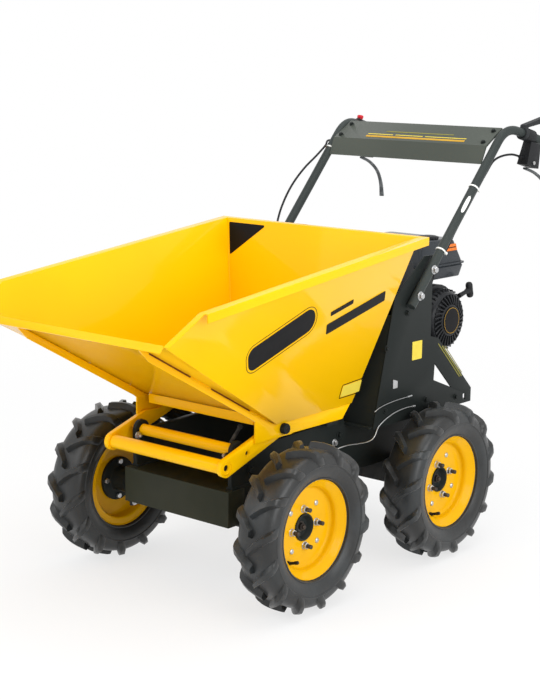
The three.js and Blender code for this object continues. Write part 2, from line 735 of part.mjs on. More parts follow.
// Thin brake wire from the left rail back to the side plate.
function brakeWire() {
  const rail = RAIL_OUTER + WIRE_RADIUS + GAP;
  const side = SIDE_PLATE_OUTER + WIRE_RADIUS + GAP;
  const points = [
    [-20, rail, 304],
    [-42, rail + 20, 314],
    [-66, side, 336],
    [-94, side + 1, 366],
    [-150, side + 1, 387],
    [-208, side, 393],
    [-250, side, 391],
  ];
  return cableGeometry(points, WIRE_RADIUS, 40);
}

function addHandlebar() {
  addPair("handle_tube", swept(handlePath(), disc(TUBE_RADIUS, 12), 36), BLACK);
  add("console", consoleGeometry(), GREY);
  addPair("grip", gripGeometry(), PLASTIC);
  addPair("lever_perch", leverPerch(), PLASTIC);
  addPair("clutch_lever", clutchLever(), CAST);
  add("drive_lever", driveLever(), CAST);
  add("stop_switch", stopSwitch(), RED);
  add("cable_left", leftCable(), PLASTIC);
  add("cable_right", rightCable(), PLASTIC);
  add("brake_wire", brakeWire(), STEEL);
}

// ---------------------------------------------------------------- skip

// Planes of the skip's outer faces. Each is named for its face and looks outwards.
const INSIDE = new THREE.Vector3(200, 0, 600);

function planeThrough(a, b, c) {
  const plane = new THREE.Plane().setFromCoplanarPoints(a, b, c);
  return plane.distanceToPoint(INSIDE) > 0 ? plane.negate() : plane;
}

function crossPlane(a, b) {
  return planeThrough(at(a, 0), at(b, 0), at(a, 100));
}

const FACE = {
  floor: crossPlane({ x: FLOOR_REAR, z: FLOOR_HEIGHT }, { x: FLOOR_FRONT, z: FLOOR_HEIGHT }),
  slope: crossPlane({ x: FLOOR_FRONT, z: FLOOR_HEIGHT }, LIP),
  rear: crossPlane({ x: FLOOR_REAR, z: FLOOR_HEIGHT }, RIM_REAR),
  rim: crossPlane(RIM_REAR, RIM_FRONT),
  front: crossPlane(RIM_FRONT, LIP),
  side: planeThrough(
    new THREE.Vector3(FLOOR_REAR, FLOOR_HALF_WIDTH, FLOOR_HEIGHT),
    at(RIM_REAR, RIM_HALF_WIDTH),
    at(RIM_FRONT, RIM_HALF_WIDTH),
  ),
};

// A plane moved outwards, or inwards by a negative distance.
function shifted(plane, distance) {
  return new THREE.Plane(plane.normal.clone(), plane.constant - distance);
}

function otherSide(plane) {
  return new THREE.Plane(plane.normal.clone().multiply(new THREE.Vector3(1, -1, 1)), plane.constant);
}

// The point where three planes meet.
function meeting(a, b, c) {
  const rows = new THREE.Matrix3();
  rows.set(...a.normal, ...b.normal, ...c.normal);
  return new THREE.Vector3(-a.constant, -b.constant, -c.constant).applyMatrix3(rows.invert());
}

// A sheet on the inner side of a face, bounded by the planes in order round it.
function sheet(face, thickness, bounds) {
  const count = bounds.length;
  const next = (i) => bounds[(i + 1) % count];
  const outer = bounds.map((bound, i) => meeting(face, bound, next(i)));
  const inner = bounds.map((bound, i) => meeting(shifted(face, -thickness), bound, next(i)));
  const triangles = [];
  for (let i = 1; i < count - 1; i++) {
    triangles.push(outer[0], outer[i], outer[i + 1], inner[0], inner[i + 1], inner[i]);
  }
  for (let i = 0; i < count; i++) {
    const j = (i + 1) % count;
    triangles.push(outer[i], inner[i], inner[j], outer[i], inner[j], outer[j]);
  }
  const geometry = new THREE.BufferGeometry().setFromPoints(triangles);
  if (solidOf(geometry).volume() > 0) return geometry;
  return new THREE.BufferGeometry().setFromPoints(triangles.reverse());
}

const SIDE_INNER = shifted(FACE.side, -SKIP_SHEET - GAP);
const BETWEEN = [SIDE_INNER, otherSide(SIDE_INNER)];

// A profile across the rim, [outwards, up] from its outer edge, run along x and sheared to follow
// the slope of the rim.
function rimStrip(x0, x1, y0, y1, z0, z1) {
  const fall = (RIM_FRONT.z - RIM_REAR.z) / (RIM_FRONT.x - RIM_REAR.x);
  const strip = block(x0, x1, y0, y1, RIM_REAR.z + z0, RIM_REAR.z + z1);
  const position = strip.attributes.position;
  for (let i = 0; i < position.count; i++) {
    position.setZ(i, position.getZ(i) + fall * (position.getX(i) - RIM_REAR.x));
  }
  return strip;
}

function skipSide() {
  const wall = sheet(FACE.side, SKIP_SHEET, [FACE.floor, FACE.slope, FACE.front, FACE.rim, FACE.rear]);
  const edge = RIM_HALF_WIDTH + RIM_FLANGE_WIDTH;
  const rear = RIM_REAR.x - REAR_FLANGE_WIDTH;
  const top = rimStrip(rear, RIM_FRONT.x, RIM_HALF_WIDTH - 2, edge, -SKIP_SHEET, 0);
  const drop = rimStrip(rear, RIM_FRONT.x, edge - SKIP_SHEET, edge, -RIM_FLANGE_DROP, 0);
  const foldBounds = [shifted(FACE.side, -SKIP_SHEET / 2), FACE.rim, shifted(FACE.side, FRONT_FOLD), FACE.slope];
  const fold = sheet(FACE.front, SKIP_SHEET, foldBounds);
  return join(wall, top, drop, fold);
}

function skipRear() {
  const wall = sheet(FACE.rear, SKIP_SHEET, [
    BETWEEN[0],
    FACE.rim,
    BETWEEN[1],
    shifted(FACE.floor, -SKIP_SHEET - GAP),
  ]);
  const rear = RIM_REAR.x - REAR_FLANGE_WIDTH;
  const half = RIM_HALF_WIDTH - 2 - GAP;
  const top = rimStrip(rear, RIM_REAR.x + 1, -half, half, -SKIP_SHEET, 0);
  const drop = rimStrip(rear, rear + SKIP_SHEET, -half, half, -RIM_FLANGE_DROP, 0);
  return cut(join(wall, top, drop), skipSide(), mirrored(skipSide()));
}

function skipFloor() {
  return sheet(FACE.floor, SKIP_SHEET, [BETWEEN[0], FACE.rear, BETWEEN[1], FACE.slope]);
}

function skipSlope() {
  const along = new THREE.Vector3(LIP.x - FLOOR_FRONT, 0, LIP.z - FLOOR_HEIGHT).normalize();
  const lip = new THREE.Plane().setFromNormalAndCoplanarPoint(along, at(LIP, 0));
  const aboveFloor = shifted(FACE.floor, -SKIP_SHEET - GAP);
  const panel = sheet(FACE.slope, SKIP_SHEET, [BETWEEN[0], aboveFloor, BETWEEN[1], lip]);
  const fold = sheet(lip, SKIP_SHEET, [
    BETWEEN[0],
    shifted(FACE.slope, LIP_FOLD),
    BETWEEN[1],
    shifted(FACE.slope, -SKIP_SHEET / 2),
  ]);
  return join(panel, fold);
}

// Height of the slope's underside at a value of x.
function slopeUnderside(x) {
  return FLOOR_HEIGHT + ((LIP.z - FLOOR_HEIGHT) / (LIP.x - FLOOR_FRONT)) * (x - FLOOR_FRONT);
}

// The plate under each side of the skip: bottom rail, pin bracket and the beam under the slope.
function skipBracket() {
  const under = FLOOR_HEIGHT - GAP;
  const beamEnd = LIP.x - 32;
  const beamStart = BRACKET_FRONT + 8;
  const beamLow = (x) => slopeUnderside(x) - SLOPE_BEAM_DEPTH;
  const shape = outline(
    [FLOOR_REAR + 4, under],
    [FLOOR_REAR + 36, SKIP_RAIL_LOW],
    [180, SKIP_RAIL_LOW],
    [186, BRACKET_LOW],
    [BRACKET_FRONT, BRACKET_LOW],
    [BRACKET_FRONT, beamLow(beamStart) - 6],
    [beamStart, beamLow(beamStart)],
    [beamEnd - 30, beamLow(beamEnd - 30)],
    [beamEnd, slopeUnderside(beamEnd) - 6],
    [beamEnd, slopeUnderside(beamEnd) - GAP],
    [FLOOR_FRONT, under],
  );
  const hole = bar(PIN_RADIUS + RUNNING_CLEARANCE, SKIP_PIN.x, SKIP_PIN.z, BRACKET_INNER - 2, BRACKET_OUTER + 2);
  return cut(plate(shape, BRACKET_INNER, BRACKET_OUTER), hole);
}

// An angle across the foot of the slope, between the arms of the tip frame.
function skipCrossMember() {
  const [x0, x1] = [FLOOR_FRONT + 17, FLOOR_FRONT + 45];
  const low = FLOOR_HEIGHT + 0.5;
  const top = (x) => slopeUnderside(x) - GAP;
  const shape = outline([x0, low], [x1, low], [x1, top(x1)], [x1 - 4, top(x1 - 4)], [x1 - 4, low + 4], [x0, low + 4]);
  return plate(shape, 7 - ARM_INNER, ARM_INNER - 7);
}

function addSkip() {
  addPair("skip_side", skipSide(), YELLOW);
  add("skip_rear", skipRear(), YELLOW);
  add("skip_floor", skipFloor(), YELLOW);
  add("skip_slope", skipSlope(), YELLOW);
  addPair("skip_bracket", skipBracket(), YELLOW);
  add("skip_cross_member", skipCrossMember(), YELLOW);
}

// ---------------------------------------------------------------- tip frame

const ARM_LENGTH = Math.hypot(PIVOT.x - SKIP_PIN.x, PIVOT.z - SKIP_PIN.z) + ARM_REACH;
const ARM_ANGLE = Math.atan2(PIVOT.z - SKIP_PIN.z, PIVOT.x - SKIP_PIN.x);

// A point on the arm's centre line, at a distance from the skip pin.
function alongArm(distance) {
  return {
    x: SKIP_PIN.x + distance * Math.cos(ARM_ANGLE),
    z: SKIP_PIN.z + distance * Math.sin(ARM_ANGLE),
  };
}

// The arm's upper edge slopes down to the pin, where the foot of the skip's slope swings down to it.
function tipArm() {
  const shape = new THREE.Shape();
  shape.moveTo(0, -19);
  shape.lineTo(ARM_LENGTH, -ARM_HALF_DEPTH);
  shape.absarc(ARM_LENGTH, 0, ARM_HALF_DEPTH, -Math.PI / 2, Math.PI / 2, false);
  shape.lineTo(79, ARM_HALF_DEPTH);
  shape.lineTo(37, 6.5);
  shape.lineTo(18, 6.5);
  shape.lineTo(0, 12);
  shape.absarc(0, -3.5, 15.5, Math.PI / 2, (Math.PI * 3) / 2, false);
  const arm = plate(shape, ARM_INNER, ARM_OUTER, 10).rotateY(-ARM_ANGLE);
  arm.translate(SKIP_PIN.x, 0, SKIP_PIN.z);
  const front = alongArm(ARM_LENGTH);
  const [y0, y1] = [ARM_INNER - 2, ARM_OUTER + 2];
  return cut(
    arm,
    bar(FRONT_TUBE_RADIUS + GAP, front.x, front.z, y0, y1, 28),
    bar(PIN_RADIUS + GAP, PIVOT.x, PIVOT.z, y0, y1),
    bar(PIN_RADIUS + GAP, SKIP_PIN.x, SKIP_PIN.z, y0, y1),
  );
}

function pipe(radius, bore, { x, z }, half) {
  const profile = [
    [radius, -half],
    [radius, half],
    [bore, half],
    [bore, -half],
  ];
  return turned(profile, 24).translate(x, 0, z);
}

function skipPin() {
  const head = BRACKET_OUTER + 1;
  const rod = bar(PIN_RADIUS, SKIP_PIN.x, SKIP_PIN.z, -head - 2, head + 2);
  const left = bar(PIN_RADIUS + 5, SKIP_PIN.x, SKIP_PIN.z, head, head + 12);
  return join(rod, left, mirrored(left));
}

function addTipFrame() {
  const front = alongArm(ARM_LENGTH);
  addPair("tip_arm", tipArm(), YELLOW);
  add("front_tube", pipe(FRONT_TUBE_RADIUS, FRONT_TUBE_RADIUS - FRONT_TUBE_WALL, front, ARM_OUTER), YELLOW);
  const sleeve = bar(PIVOT_TUBE_RADIUS, PIVOT.x, PIVOT.z, -RAIL_INNER - 4, RAIL_INNER + 4);
  add("pivot_tube", join(sleeve, bar(PIN_RADIUS, PIVOT.x, PIVOT.z, -ARM_OUTER, ARM_OUTER)), YELLOW);
  add("skip_pin", skipPin(), BLACK);
}

// ---------------------------------------------------------------- assembly

addChassis();
for (const end of ["front", "rear"]) {
  for (const side of ["left", "right"]) addWheel(end, side);
}
addEngine();
addHandlebar();
addTipFrame();
addSkip();

// The origin is under the middle of the machine's box, on the ground.
const box = new THREE.Box3().setFromObject(machine, true);
const model = new THREE.Group();
machine.position.x = -(box.min.x + box.max.x) / 2;
model.add(machine);
model.updateMatrixWorld(true);

export default model;
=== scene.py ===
"""Looks of the site dumper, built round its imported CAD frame.

Everything is in the row frame: metres, +X forward, +Y to the machine's left, +Z up. Places on the
machine are written in millimetres from the middle of its wheelbase and go through at().
"""

import math

import bpy
from mathutils import Matrix, Vector


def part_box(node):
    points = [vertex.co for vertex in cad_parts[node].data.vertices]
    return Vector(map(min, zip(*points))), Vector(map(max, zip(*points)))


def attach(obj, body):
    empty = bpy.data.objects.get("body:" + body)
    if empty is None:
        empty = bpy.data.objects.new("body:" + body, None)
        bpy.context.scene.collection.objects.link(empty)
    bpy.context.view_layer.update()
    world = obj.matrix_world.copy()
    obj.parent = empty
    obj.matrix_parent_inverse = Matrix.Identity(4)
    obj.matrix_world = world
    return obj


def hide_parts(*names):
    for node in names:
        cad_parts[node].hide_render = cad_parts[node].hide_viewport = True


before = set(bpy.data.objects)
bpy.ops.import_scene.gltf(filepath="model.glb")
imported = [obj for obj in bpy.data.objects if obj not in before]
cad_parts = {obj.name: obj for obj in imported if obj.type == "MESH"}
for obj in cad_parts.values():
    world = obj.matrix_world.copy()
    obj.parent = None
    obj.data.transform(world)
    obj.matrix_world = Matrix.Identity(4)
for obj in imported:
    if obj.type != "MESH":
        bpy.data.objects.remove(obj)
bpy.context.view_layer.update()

# ---------------------------------------------------------------- places and sizes

MM = 0.001
FRONT_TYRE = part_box("tyre_front_left")
REAR_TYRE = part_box("tyre_rear_left")
WHEEL_CENTRES = {"front": (FRONT_TYRE[0] + FRONT_TYRE[1]) / 2, "rear": (REAR_TYRE[0] + REAR_TYRE[1]) / 2}
MIDDLE_X = (WHEEL_CENTRES["front"].x + WHEEL_CENTRES["rear"].x) / 2
AXLE_HEIGHT = WHEEL_CENTRES["front"].z / MM
WHEEL_Y = WHEEL_CENTRES["front"].y / MM
WHEEL_X = (WHEEL_CENTRES["front"].x - MIDDLE_X) / MM

# millimetres, as in the CAD model
TYRE_REACH = 201.6  # radius over the lugs
TYRE_HALF_WIDTH = 54.8
LUGS = 14  # on each half of a tread
RIM_RADIUS = 119
SEAT_RADIUS = 101
HUB_RADIUS = 32.7
STUD_CIRCLE = 45
DISC_FACE = 1.0  # heights on a wheel's axis, outboard of its middle
FLANGE_BACK = -11.3
NOSE_FLOOR = -9
RIVET_CIRCLE = 66
TUBE_RADIUS = 12
SIDE_PLATE_OUTER = 248
HANDLE_Y = 260.3
HANDLE_FOOT = (-204, HANDLE_Y, 657)
HANDLE_CORNER = (-607, HANDLE_Y + 8, 1096)
HANDLE_TIP = (-890, HANDLE_Y + 36, 1021)
HANDLE_BEND = 90
GRIP_LENGTH = 125
CABLE_RADIUS = 2.95
FERRULE_RADIUS = 4.6
WIRE_RADIUS = 1.3
HOSE_RADIUS = 8.6
PERCH_PLACE = 104
CRANK = (-462, 584)
TANK_TOP = 794
RECOIL_RADIUS = 80
RECOIL_INNER = 165
RECOIL_OUTER = 214
PIVOT = (340, 369)
SKIP_PIN = (218, 408)
FRONT_TUBE = (411.1, 347.1)
FRONT_TUBE_RADIUS = 17
ARM_OUTER = 191
ARM_INNER = 179
BRACKET_OUTER = 197
RAIL_INNER = 146
RAIL_OUTER = 166
FLOOR_REAR = (-48, 425)
FLOOR_FRONT = (253, 425)
RIM_REAR = (-150, 843)
RIM_FRONT = (637, 751)
LIP = (730, 689)
FLOOR_HALF = 198
RIM_HALF = 317
SKIP_SHEET = 3


def at(x, y, z):
    """A point of the machine, in millimetres, in the row frame."""
    return Vector((MIDDLE_X + x * MM, y * MM, z * MM))


def mm(x, y, z):
    """A vector given in millimetres."""
    return Vector((x * MM, y * MM, z * MM))


def axes(x, y, z):
    """The turn whose columns are three directions."""
    return Matrix((x, y, z)).transposed().to_4x4()


SIDES = (("left", 1), ("right", -1))

# ---------------------------------------------------------------- camera

CAMERA_PLACE = at(2963.8, 2477.0, 1294.0)
CAMERA_AZIMUTH = math.radians(130.241)
CAMERA_ELEVATION = math.radians(11.053)
CAMERA_ROLL = math.radians(0.683)
CAMERA_LENS = 79.5
CAMERA_SENSOR = 36


def make_camera():
    flat = math.cos(CAMERA_ELEVATION)
    aside, ahead = math.sin(CAMERA_AZIMUTH) * flat, math.cos(CAMERA_AZIMUTH) * flat
    back = Vector((aside, -ahead, math.sin(CAMERA_ELEVATION)))
    right = (-back).cross(Vector((0, 0, 1))).normalized()
    up = right.cross(-back)
    turned_right = right * math.cos(CAMERA_ROLL) + up * math.sin(CAMERA_ROLL)
    turned_up = up * math.cos(CAMERA_ROLL) - right * math.sin(CAMERA_ROLL)
    data = bpy.data.cameras.new("camera")
    data.sensor_width = CAMERA_SENSOR
    data.lens = CAMERA_LENS
    data.clip_end = 100
    camera = bpy.data.objects.new("camera", data)
    bpy.context.scene.collection.objects.link(camera)
    camera.matrix_world = Matrix.Translation(CAMERA_PLACE) @ axes(turned_right, turned_up, back)
    bpy.context.scene.camera = camera


make_camera()

# ---------------------------------------------------------------- materials


def colour(text):
    """A display colour such as f8bc00 as the linear colour that a shader takes."""
    channels = [int(text[i : i + 2], 16) / 255 for i in (0, 2, 4)]
    return tuple(c / 12.92 if c < 0.04045 else ((c + 0.055) / 1.055) ** 2.4 for c in channels) + (1.0,)


def plug(node, values):
    """Fills a node's inputs, by name or number, from numbers, colours and other nodes' outputs."""
    for key, value in values.items():
        if isinstance(value, bpy.types.NodeSocket):
            node.id_data.links.new(value, node.inputs[key])
        else:
            node.inputs[key].default_value = value
    return node


def add_node(tree, kind, values=None, **settings):
    made = tree.nodes.new(kind)
    for key, value in settings.items():
        setattr(made, key, value)
    return plug(made, values or {})


class Surface:
    """A material's node tree with one Principled shader, built up step by step."""

    def __init__(self, name, base, roughness, metallic=0.0, specular=0.22):
        self.material = bpy.data.materials.new(name)
        self.material.use_nodes = True
        self.material.diffuse_color = colour(base)
        self.shader = self.material.node_tree.nodes["Principled BSDF"]
        self.put({"Base Color": colour(base), "Roughness": roughness})
        self.put({"Metallic": metallic, "Specular IOR Level": specular})
        self.place = self.node("ShaderNodeTexCoord").outputs["Object"]
        self.height = None

    def node(self, kind, values=None, **settings):
        return add_node(self.material.node_tree, kind, values, **settings)

    def put(self, values):
        plug(self.shader, values)
        return self

    def stretched(self, scale):
        """The place with each axis scaled, for grain that runs one way."""
        return self.node("ShaderNodeMapping", {"Scale": scale, "Vector": self.place}).outputs["Vector"]

    def noise(self, scale, detail=3.0, rough=0.5, place=None):
        values = {"Scale": scale, "Detail": detail, "Roughness": rough, "Vector": place or self.place}
        return self.node("ShaderNodeTexNoise", values).outputs["Fac"]

    def ramp(self, value, low, high):
        """The value moved from low..high to 0..1, with a soft knee."""
        values = {"From Min": low, "From Max": high, "Value": value}
        return self.node("ShaderNodeMapRange", values, interpolation_type="SMOOTHSTEP").outputs["Result"]

    def times(self, a, b):
        return self.node("ShaderNodeMath", {0: a, 1: b}, operation="MULTIPLY").outputs[0]

    def tint(self, mask, other, amount=1.0):
        """Mixes another colour in where the mask is high."""
        base = self.shader.inputs["Base Color"]
        before = base.links[0].from_socket if base.is_linked else tuple(base.default_value)
        values = {6: before, 7: colour(other), 0: self.times(mask, amount)}
        return self.put({"Base Color": self.node("ShaderNodeMix", values, data_type="RGBA").outputs[2]})

    def vary_roughness(self, mask, low, high):
        mapped = self.node("ShaderNodeMapRange", {"To Min": low, "To Max": high, "Value": mask})
        return self.put({"Roughness": mapped.outputs["Result"]})

    def bump(self, height, strength, depth):
        """Adds a layer of relief, depth in metres."""
        values = {"Strength": strength, "Distance": depth, "Height": height}
        if self.height:
            values["Normal"] = self.height
        self.height = self.node("ShaderNodeBump", values).outputs["Normal"]
        return self.put({"Normal": self.height})

    def coat(self, weight, roughness):
        return self.put({"Coat Weight": weight, "Coat IOR": 1.21, "Coat Roughness": roughness})

    def low_dust(self, top, amount):
        """Pale dust towards the ground, patchy, up to a height in metres."""
        split = self.node("ShaderNodeSeparateXYZ", {0: self.place})
        down = self.ramp(split.outputs["Z"], top, 0.0)
        patches = self.ramp(self.noise(14, 5), 0.35, 0.75)
        return self.tint(self.times(down, patches), "8a8478", amount)


def paint(name, base, deep, gloss, peel=0.25):
    """Sprayed enamel: soft drift in tone, orange peel, and a clear glossy skin."""
    s = Surface(name, base, 0.42, specular=0.06)
    s.tint(s.ramp(s.noise(2.6, 2), 0.35, 0.75), deep, 0.55)
    s.tint(s.ramp(s.noise(160, 4), 0.68, 0.8), deep, 0.35)
    s.vary_roughness(s.noise(11, 4), 0.32, 0.5)
    s.bump(s.noise(420, 2), peel, 0.00025)
    s.bump(s.noise(7, 2), 0.12, 0.004)
    return s.coat(0.75, gloss)


def black_paint(name, base, lift, dust):
    s = paint(name, base, lift, 0.4, 0.35)
    return s.coat(0.3, 0.36).low_dust(0.5, dust)


def casting(name, base, light, grain=260):
    """Sand-cast metal under thin paint."""
    s = Surface(name, base, 0.55, 0.15)
    s.tint(s.ramp(s.noise(35, 6, 0.65), 0.42, 0.72), light, 0.7)
    s.vary_roughness(s.noise(60, 4), 0.42, 0.68)
    s.bump(s.noise(grain, 5, 0.7), 0.5, 0.0006)
    return s.low_dust(0.45, 0.2)


def moulded(name, base, worn, roughness, grain):
    """Moulded plastic: fine leather grain, and scuffs that catch the light."""
    s = Surface(name, base, roughness)
    cells = s.node("ShaderNodeTexVoronoi", {"Scale": grain, "Vector": s.place})
    s.bump(cells.outputs["Distance"], 0.22, 0.0002)
    s.tint(s.ramp(s.noise(24, 6, 0.6), 0.55, 0.8), worn, 0.5)
    return s.vary_roughness(s.noise(30, 5), roughness - 0.1, roughness + 0.12)


def tread_rubber(name):
    """Tyre rubber: random bluish patches that in part paint the sheen of lit rubber, patchy dust, mould
    grain.
    """
    s = Surface(name, "1b1c1c", 0.5, specular=0.5)
    # bluish patches in the tone of the lit tread's sheen: random tone, and in part a painted sheen
    s.tint(s.ramp(s.noise(9, 6, 0.6), 0.4, 0.75), "2f3538", 0.6)
    s.tint(s.ramp(s.noise(90, 5, 0.7), 0.55, 0.8), "41423d", 0.25)
    s.vary_roughness(s.noise(18, 5), 0.26, 0.5)
    s.bump(s.noise(520, 4, 0.7), 0.3, 0.0004)
    s.bump(s.noise(32, 3), 0.4, 0.003)
    return s.put({"Sheen Weight": 0.12, "Sheen Roughness": 0.4})


def plated(name, base, roughness, streak=(900, 60, 60)):
    """Zinc plate: streaky polish with a little blotching."""
    s = Surface(name, base, roughness, 0.92)
    s.tint(s.ramp(s.noise(45, 5), 0.5, 0.8), "8e8a80", 0.5)
    s.vary_roughness(s.noise(1, 4, 0.6, s.stretched(streak)), roughness - 0.08, roughness + 0.16)
    return s.bump(s.noise(1, 2, 0.5, s.stretched(streak)), 0.12, 0.0001)


def film(name, base, shade):
    """Printed adhesive film, blank: slight cockle and soft gloss."""
    s = Surface(name, base, 0.4, specular=0.08)
    s.tint(s.ramp(s.noise(30, 3), 0.4, 0.8), shade, 0.4)
    s.vary_roughness(s.noise(40, 3), 0.3, 0.48)
    s.bump(s.noise(55, 2), 0.2, 0.0004)
    return s.coat(0.25, 0.3)


MATERIALS = {
    "skip": paint("skip_paint", "fdc400", "f6b600", 0.07),
    "rim": paint("rim_paint", "e8b000", "dba200", 0.1),
    "chassis": black_paint("chassis_paint", "1f2322", "292e2d", 0.06),
    # the tubes take the chassis paint made lighter, for the light along them: a painted highlight
    "tube": black_paint("tube_paint_with_painted_highlight", "363b3a", "444a48", 0.04),
    "guard": black_paint("guard_paint", "2c2e24", "36382c", 0.04),
    "console": paint("console_paint", "474c46", "545952", 0.34, 0.5),
    "cast": casting("cast_paint", "26282a", "383b3d"),
    "alloy": casting("alloy", "4c5052", "878b8d", 300),
    "cowl": paint("cowl_paint", "232426", "303235", 0.2, 0.4),
    "tank": paint("tank_paint", "2f3337", "40454b", 0.2, 0.4),
    "plastic": moulded("black_plastic", "1f2022", "3c3e41", 0.48, 900),
    "grip": moulded("grip_rubber", "1b1c1e", "303234", 0.7, 620),
    "tyre": tread_rubber("tyre_rubber"),
    "steel": plated("zinc_plate", "c4c5c6", 0.3),
    "dark_steel": plated("black_oxide", "4a4440", 0.42),
    "cable": moulded("cable_sheath", "17181a", "2c2d2f", 0.5, 1500),
    "nylon": moulded("white_nylon", "e9eae6", "c9cac4", 0.45, 1200),
    "red": moulded("red_plastic", "c8202c", "8e1620", 0.4, 1100),
    "black_film": film("black_film", "0d0c0e", "17151a"),
    "yellow_film": film("yellow_film", "e2cc4c", "d0b53a"),
    "dull_film": film("dull_film", "86813c", "5f5c34"),
    "ochre_film": film("ochre_film", "c79a2c", "8c6f2a"),
    "orange_film": film("orange_film", "e07a34", "cf6a28"),
    "hole": casting("hole_shadow", "1a1714", "26211c", 400),
    # dark strips for the gaps under the slope: painted shade
    "seam": casting("seam_shadow", "6a2a08", "843a0c", 500),
    "weld": paint("weld_paint", "fbbc00", "e39a00", 0.2, 0.6),
}

# ---------------------------------------------------------------- mesh code

# A part is (vertices, faces): row-frame vectors, and lists of indices.


def joined(*parts):
    vertices, faces = [], []
    for part_vertices, part_faces in parts:
        start = len(vertices)
        vertices.extend(part_vertices)
        faces.extend([[i + start for i in face] for face in part_faces])
    return vertices, faces


def facing(origin, axis, up=(0, 0, 1)):
    """A frame with its Z along an axis and its X as near as can be to up, at a row-frame origin."""
    z = Vector(axis).normalized()
    x = Vector(up) - z * z.dot(Vector(up))
    if x.length < 1e-6:
        x = Vector((1, 0, 0)) - z * z.x
    x.normalize()
    return Matrix.Translation(origin) @ axes(x, z.cross(x), z)


def rounded(points, radii, steps=4):
    """A closed outline with its corners rounded. A corner whose radius is 0 stays sharp."""
    out = []
    count = len(points)
    for i, (point, radius) in enumerate(zip(points, radii)):
        here = Vector(point)
        before = Vector(points[i - 1]) - here
        after = Vector(points[(i + 1) % count]) - here
        if radius <= 0 or before.length < 1e-9 or after.length < 1e-9:
            out.append(tuple(here))
            continue
        angle = before.angle(after)
        reach = min(radius / math.tan(angle / 2), before.length * 0.49, after.length * 0.49)
        size = reach * math.tan(angle / 2)
        centre = here + (before.normalized() + after.normalized()).normalized() * (size / math.sin(angle / 2))
        start = here + before.normalized() * reach - centre
        end = here + after.normalized() * reach - centre
        sweep = start.angle(end)
        if sweep < 1e-3:
            out.append(tuple(here))
            continue
        for k in range(steps + 1):
            t = k / steps
            mixed = (start * math.sin((1 - t) * sweep) + end * math.sin(t * sweep)) / math.sin(sweep)
            out.append(tuple(centre + mixed))
    return out


def panel(x0, x1, y0, y1, radius, steps=4):
    """A rectangle with rounded corners."""
    return rounded([(x0, y0), (x1, y0), (x1, y1), (x0, y1)], [radius] * 4, steps)


def signed_area(points):
    pairs = zip(points, points[1:] + points[:1])
    return sum(a[0] * b[1] - b[0] * a[1] for a, b in pairs) / 2


def lathe(profile, segments, matrix, start=0.0):
    """Turns a profile of [radius, height] in mm about the frame's Z. It is closed if it starts and
    ends on the axis or, as a ring, from its last point back to its first."""
    ring = profile[0][0] > 0
    if signed_area(list(profile)) < 0:
        profile = profile[::-1]
    vertices, rows = [], []
    for radius, height in profile:
        if radius <= 1e-9:
            rows.append([len(vertices)] * segments)
            vertices.append(matrix @ mm(0, 0, height))
            continue
        rows.append([len(vertices) + k for k in range(segments)])
        for k in range(segments):
            turn = start + 2 * math.pi * k / segments
            vertices.append(matrix @ mm(radius * math.cos(turn), radius * math.sin(turn), height))
    faces = []
    pairs = list(zip(rows, rows[1:]))
    if ring:
        pairs.append((rows[-1], rows[0]))
    for lower, upper in pairs:
        for k in range(segments):
            m = (k + 1) % segments
            corners = [lower[k], lower[m], upper[m], upper[k]]
            face = [c for i, c in enumerate(corners) if c != corners[i - 1]]
            if len(face) > 2:
                faces.append(face)
    return vertices, faces


def prism(outline, low, high, matrix):
    """An outline in mm in the frame's X and Y, made solid between two heights."""
    if signed_area(outline) < 0:
        outline = outline[::-1]
    count = len(outline)
    vertices = [matrix @ mm(x, y, z) for z in (low, high) for x, y in outline]
    faces = [list(range(count))[::-1], list(range(count, 2 * count))]
    faces += [[i, (i + 1) % count, (i + 1) % count + count, i + count] for i in range(count)]
    return vertices, faces


def bridged(rings, loop=False):
    """Rings of as many points each, joined in order, with closed ends or back to the first."""
    count = len(rings[0])
    vertices = [v for ring in rings for v in ring]
    faces = []
    for r in range(len(rings) if loop else len(rings) - 1):
        a, b = r * count, (r + 1) % len(rings) * count
        faces += [[a + i, a + (i + 1) % count, b + (i + 1) % count, b + i] for i in range(count)]
    if not loop:
        faces.append(list(range(count))[::-1])
        faces.append(list(range(len(vertices) - count, len(vertices))))
    return vertices, faces


def swept(points, section):
    """A section run along row-frame points without twist. section(share) gives [side, up] in mm."""
    rings = []
    tangents = []
    for i in range(len(points)):
        ahead = points[min(i + 1, len(points) - 1)]
        behind = points[max(i - 1, 0)]
        tangents.append((ahead - behind).normalized())
    up = Vector((0, 0, 1)) if abs(tangents[0].z) < 0.9 else Vector((0, 1, 0))
    for i, (point, tangent) in enumerate(zip(points, tangents)):
        up = (up - tangent * up.dot(tangent)).normalized()
        side = up.cross(tangent)
        outline = section(i / (len(points) - 1))
        rings.append([point + side * (a * MM) + up * (b * MM) for a, b in outline])
    return bridged(rings)


def circle(radius, sides):
    turns = [2 * math.pi * k / sides for k in range(sides)]
    return [(radius * math.cos(turn), radius * math.sin(turn)) for turn in turns]


def rod(points, radius, sides=16):
    return outward(swept(points, lambda share: circle(radius, sides)))


def through(places, steps):
    """A smooth line through places on the machine."""
    return curve_through([at(*place) for place in places], steps)


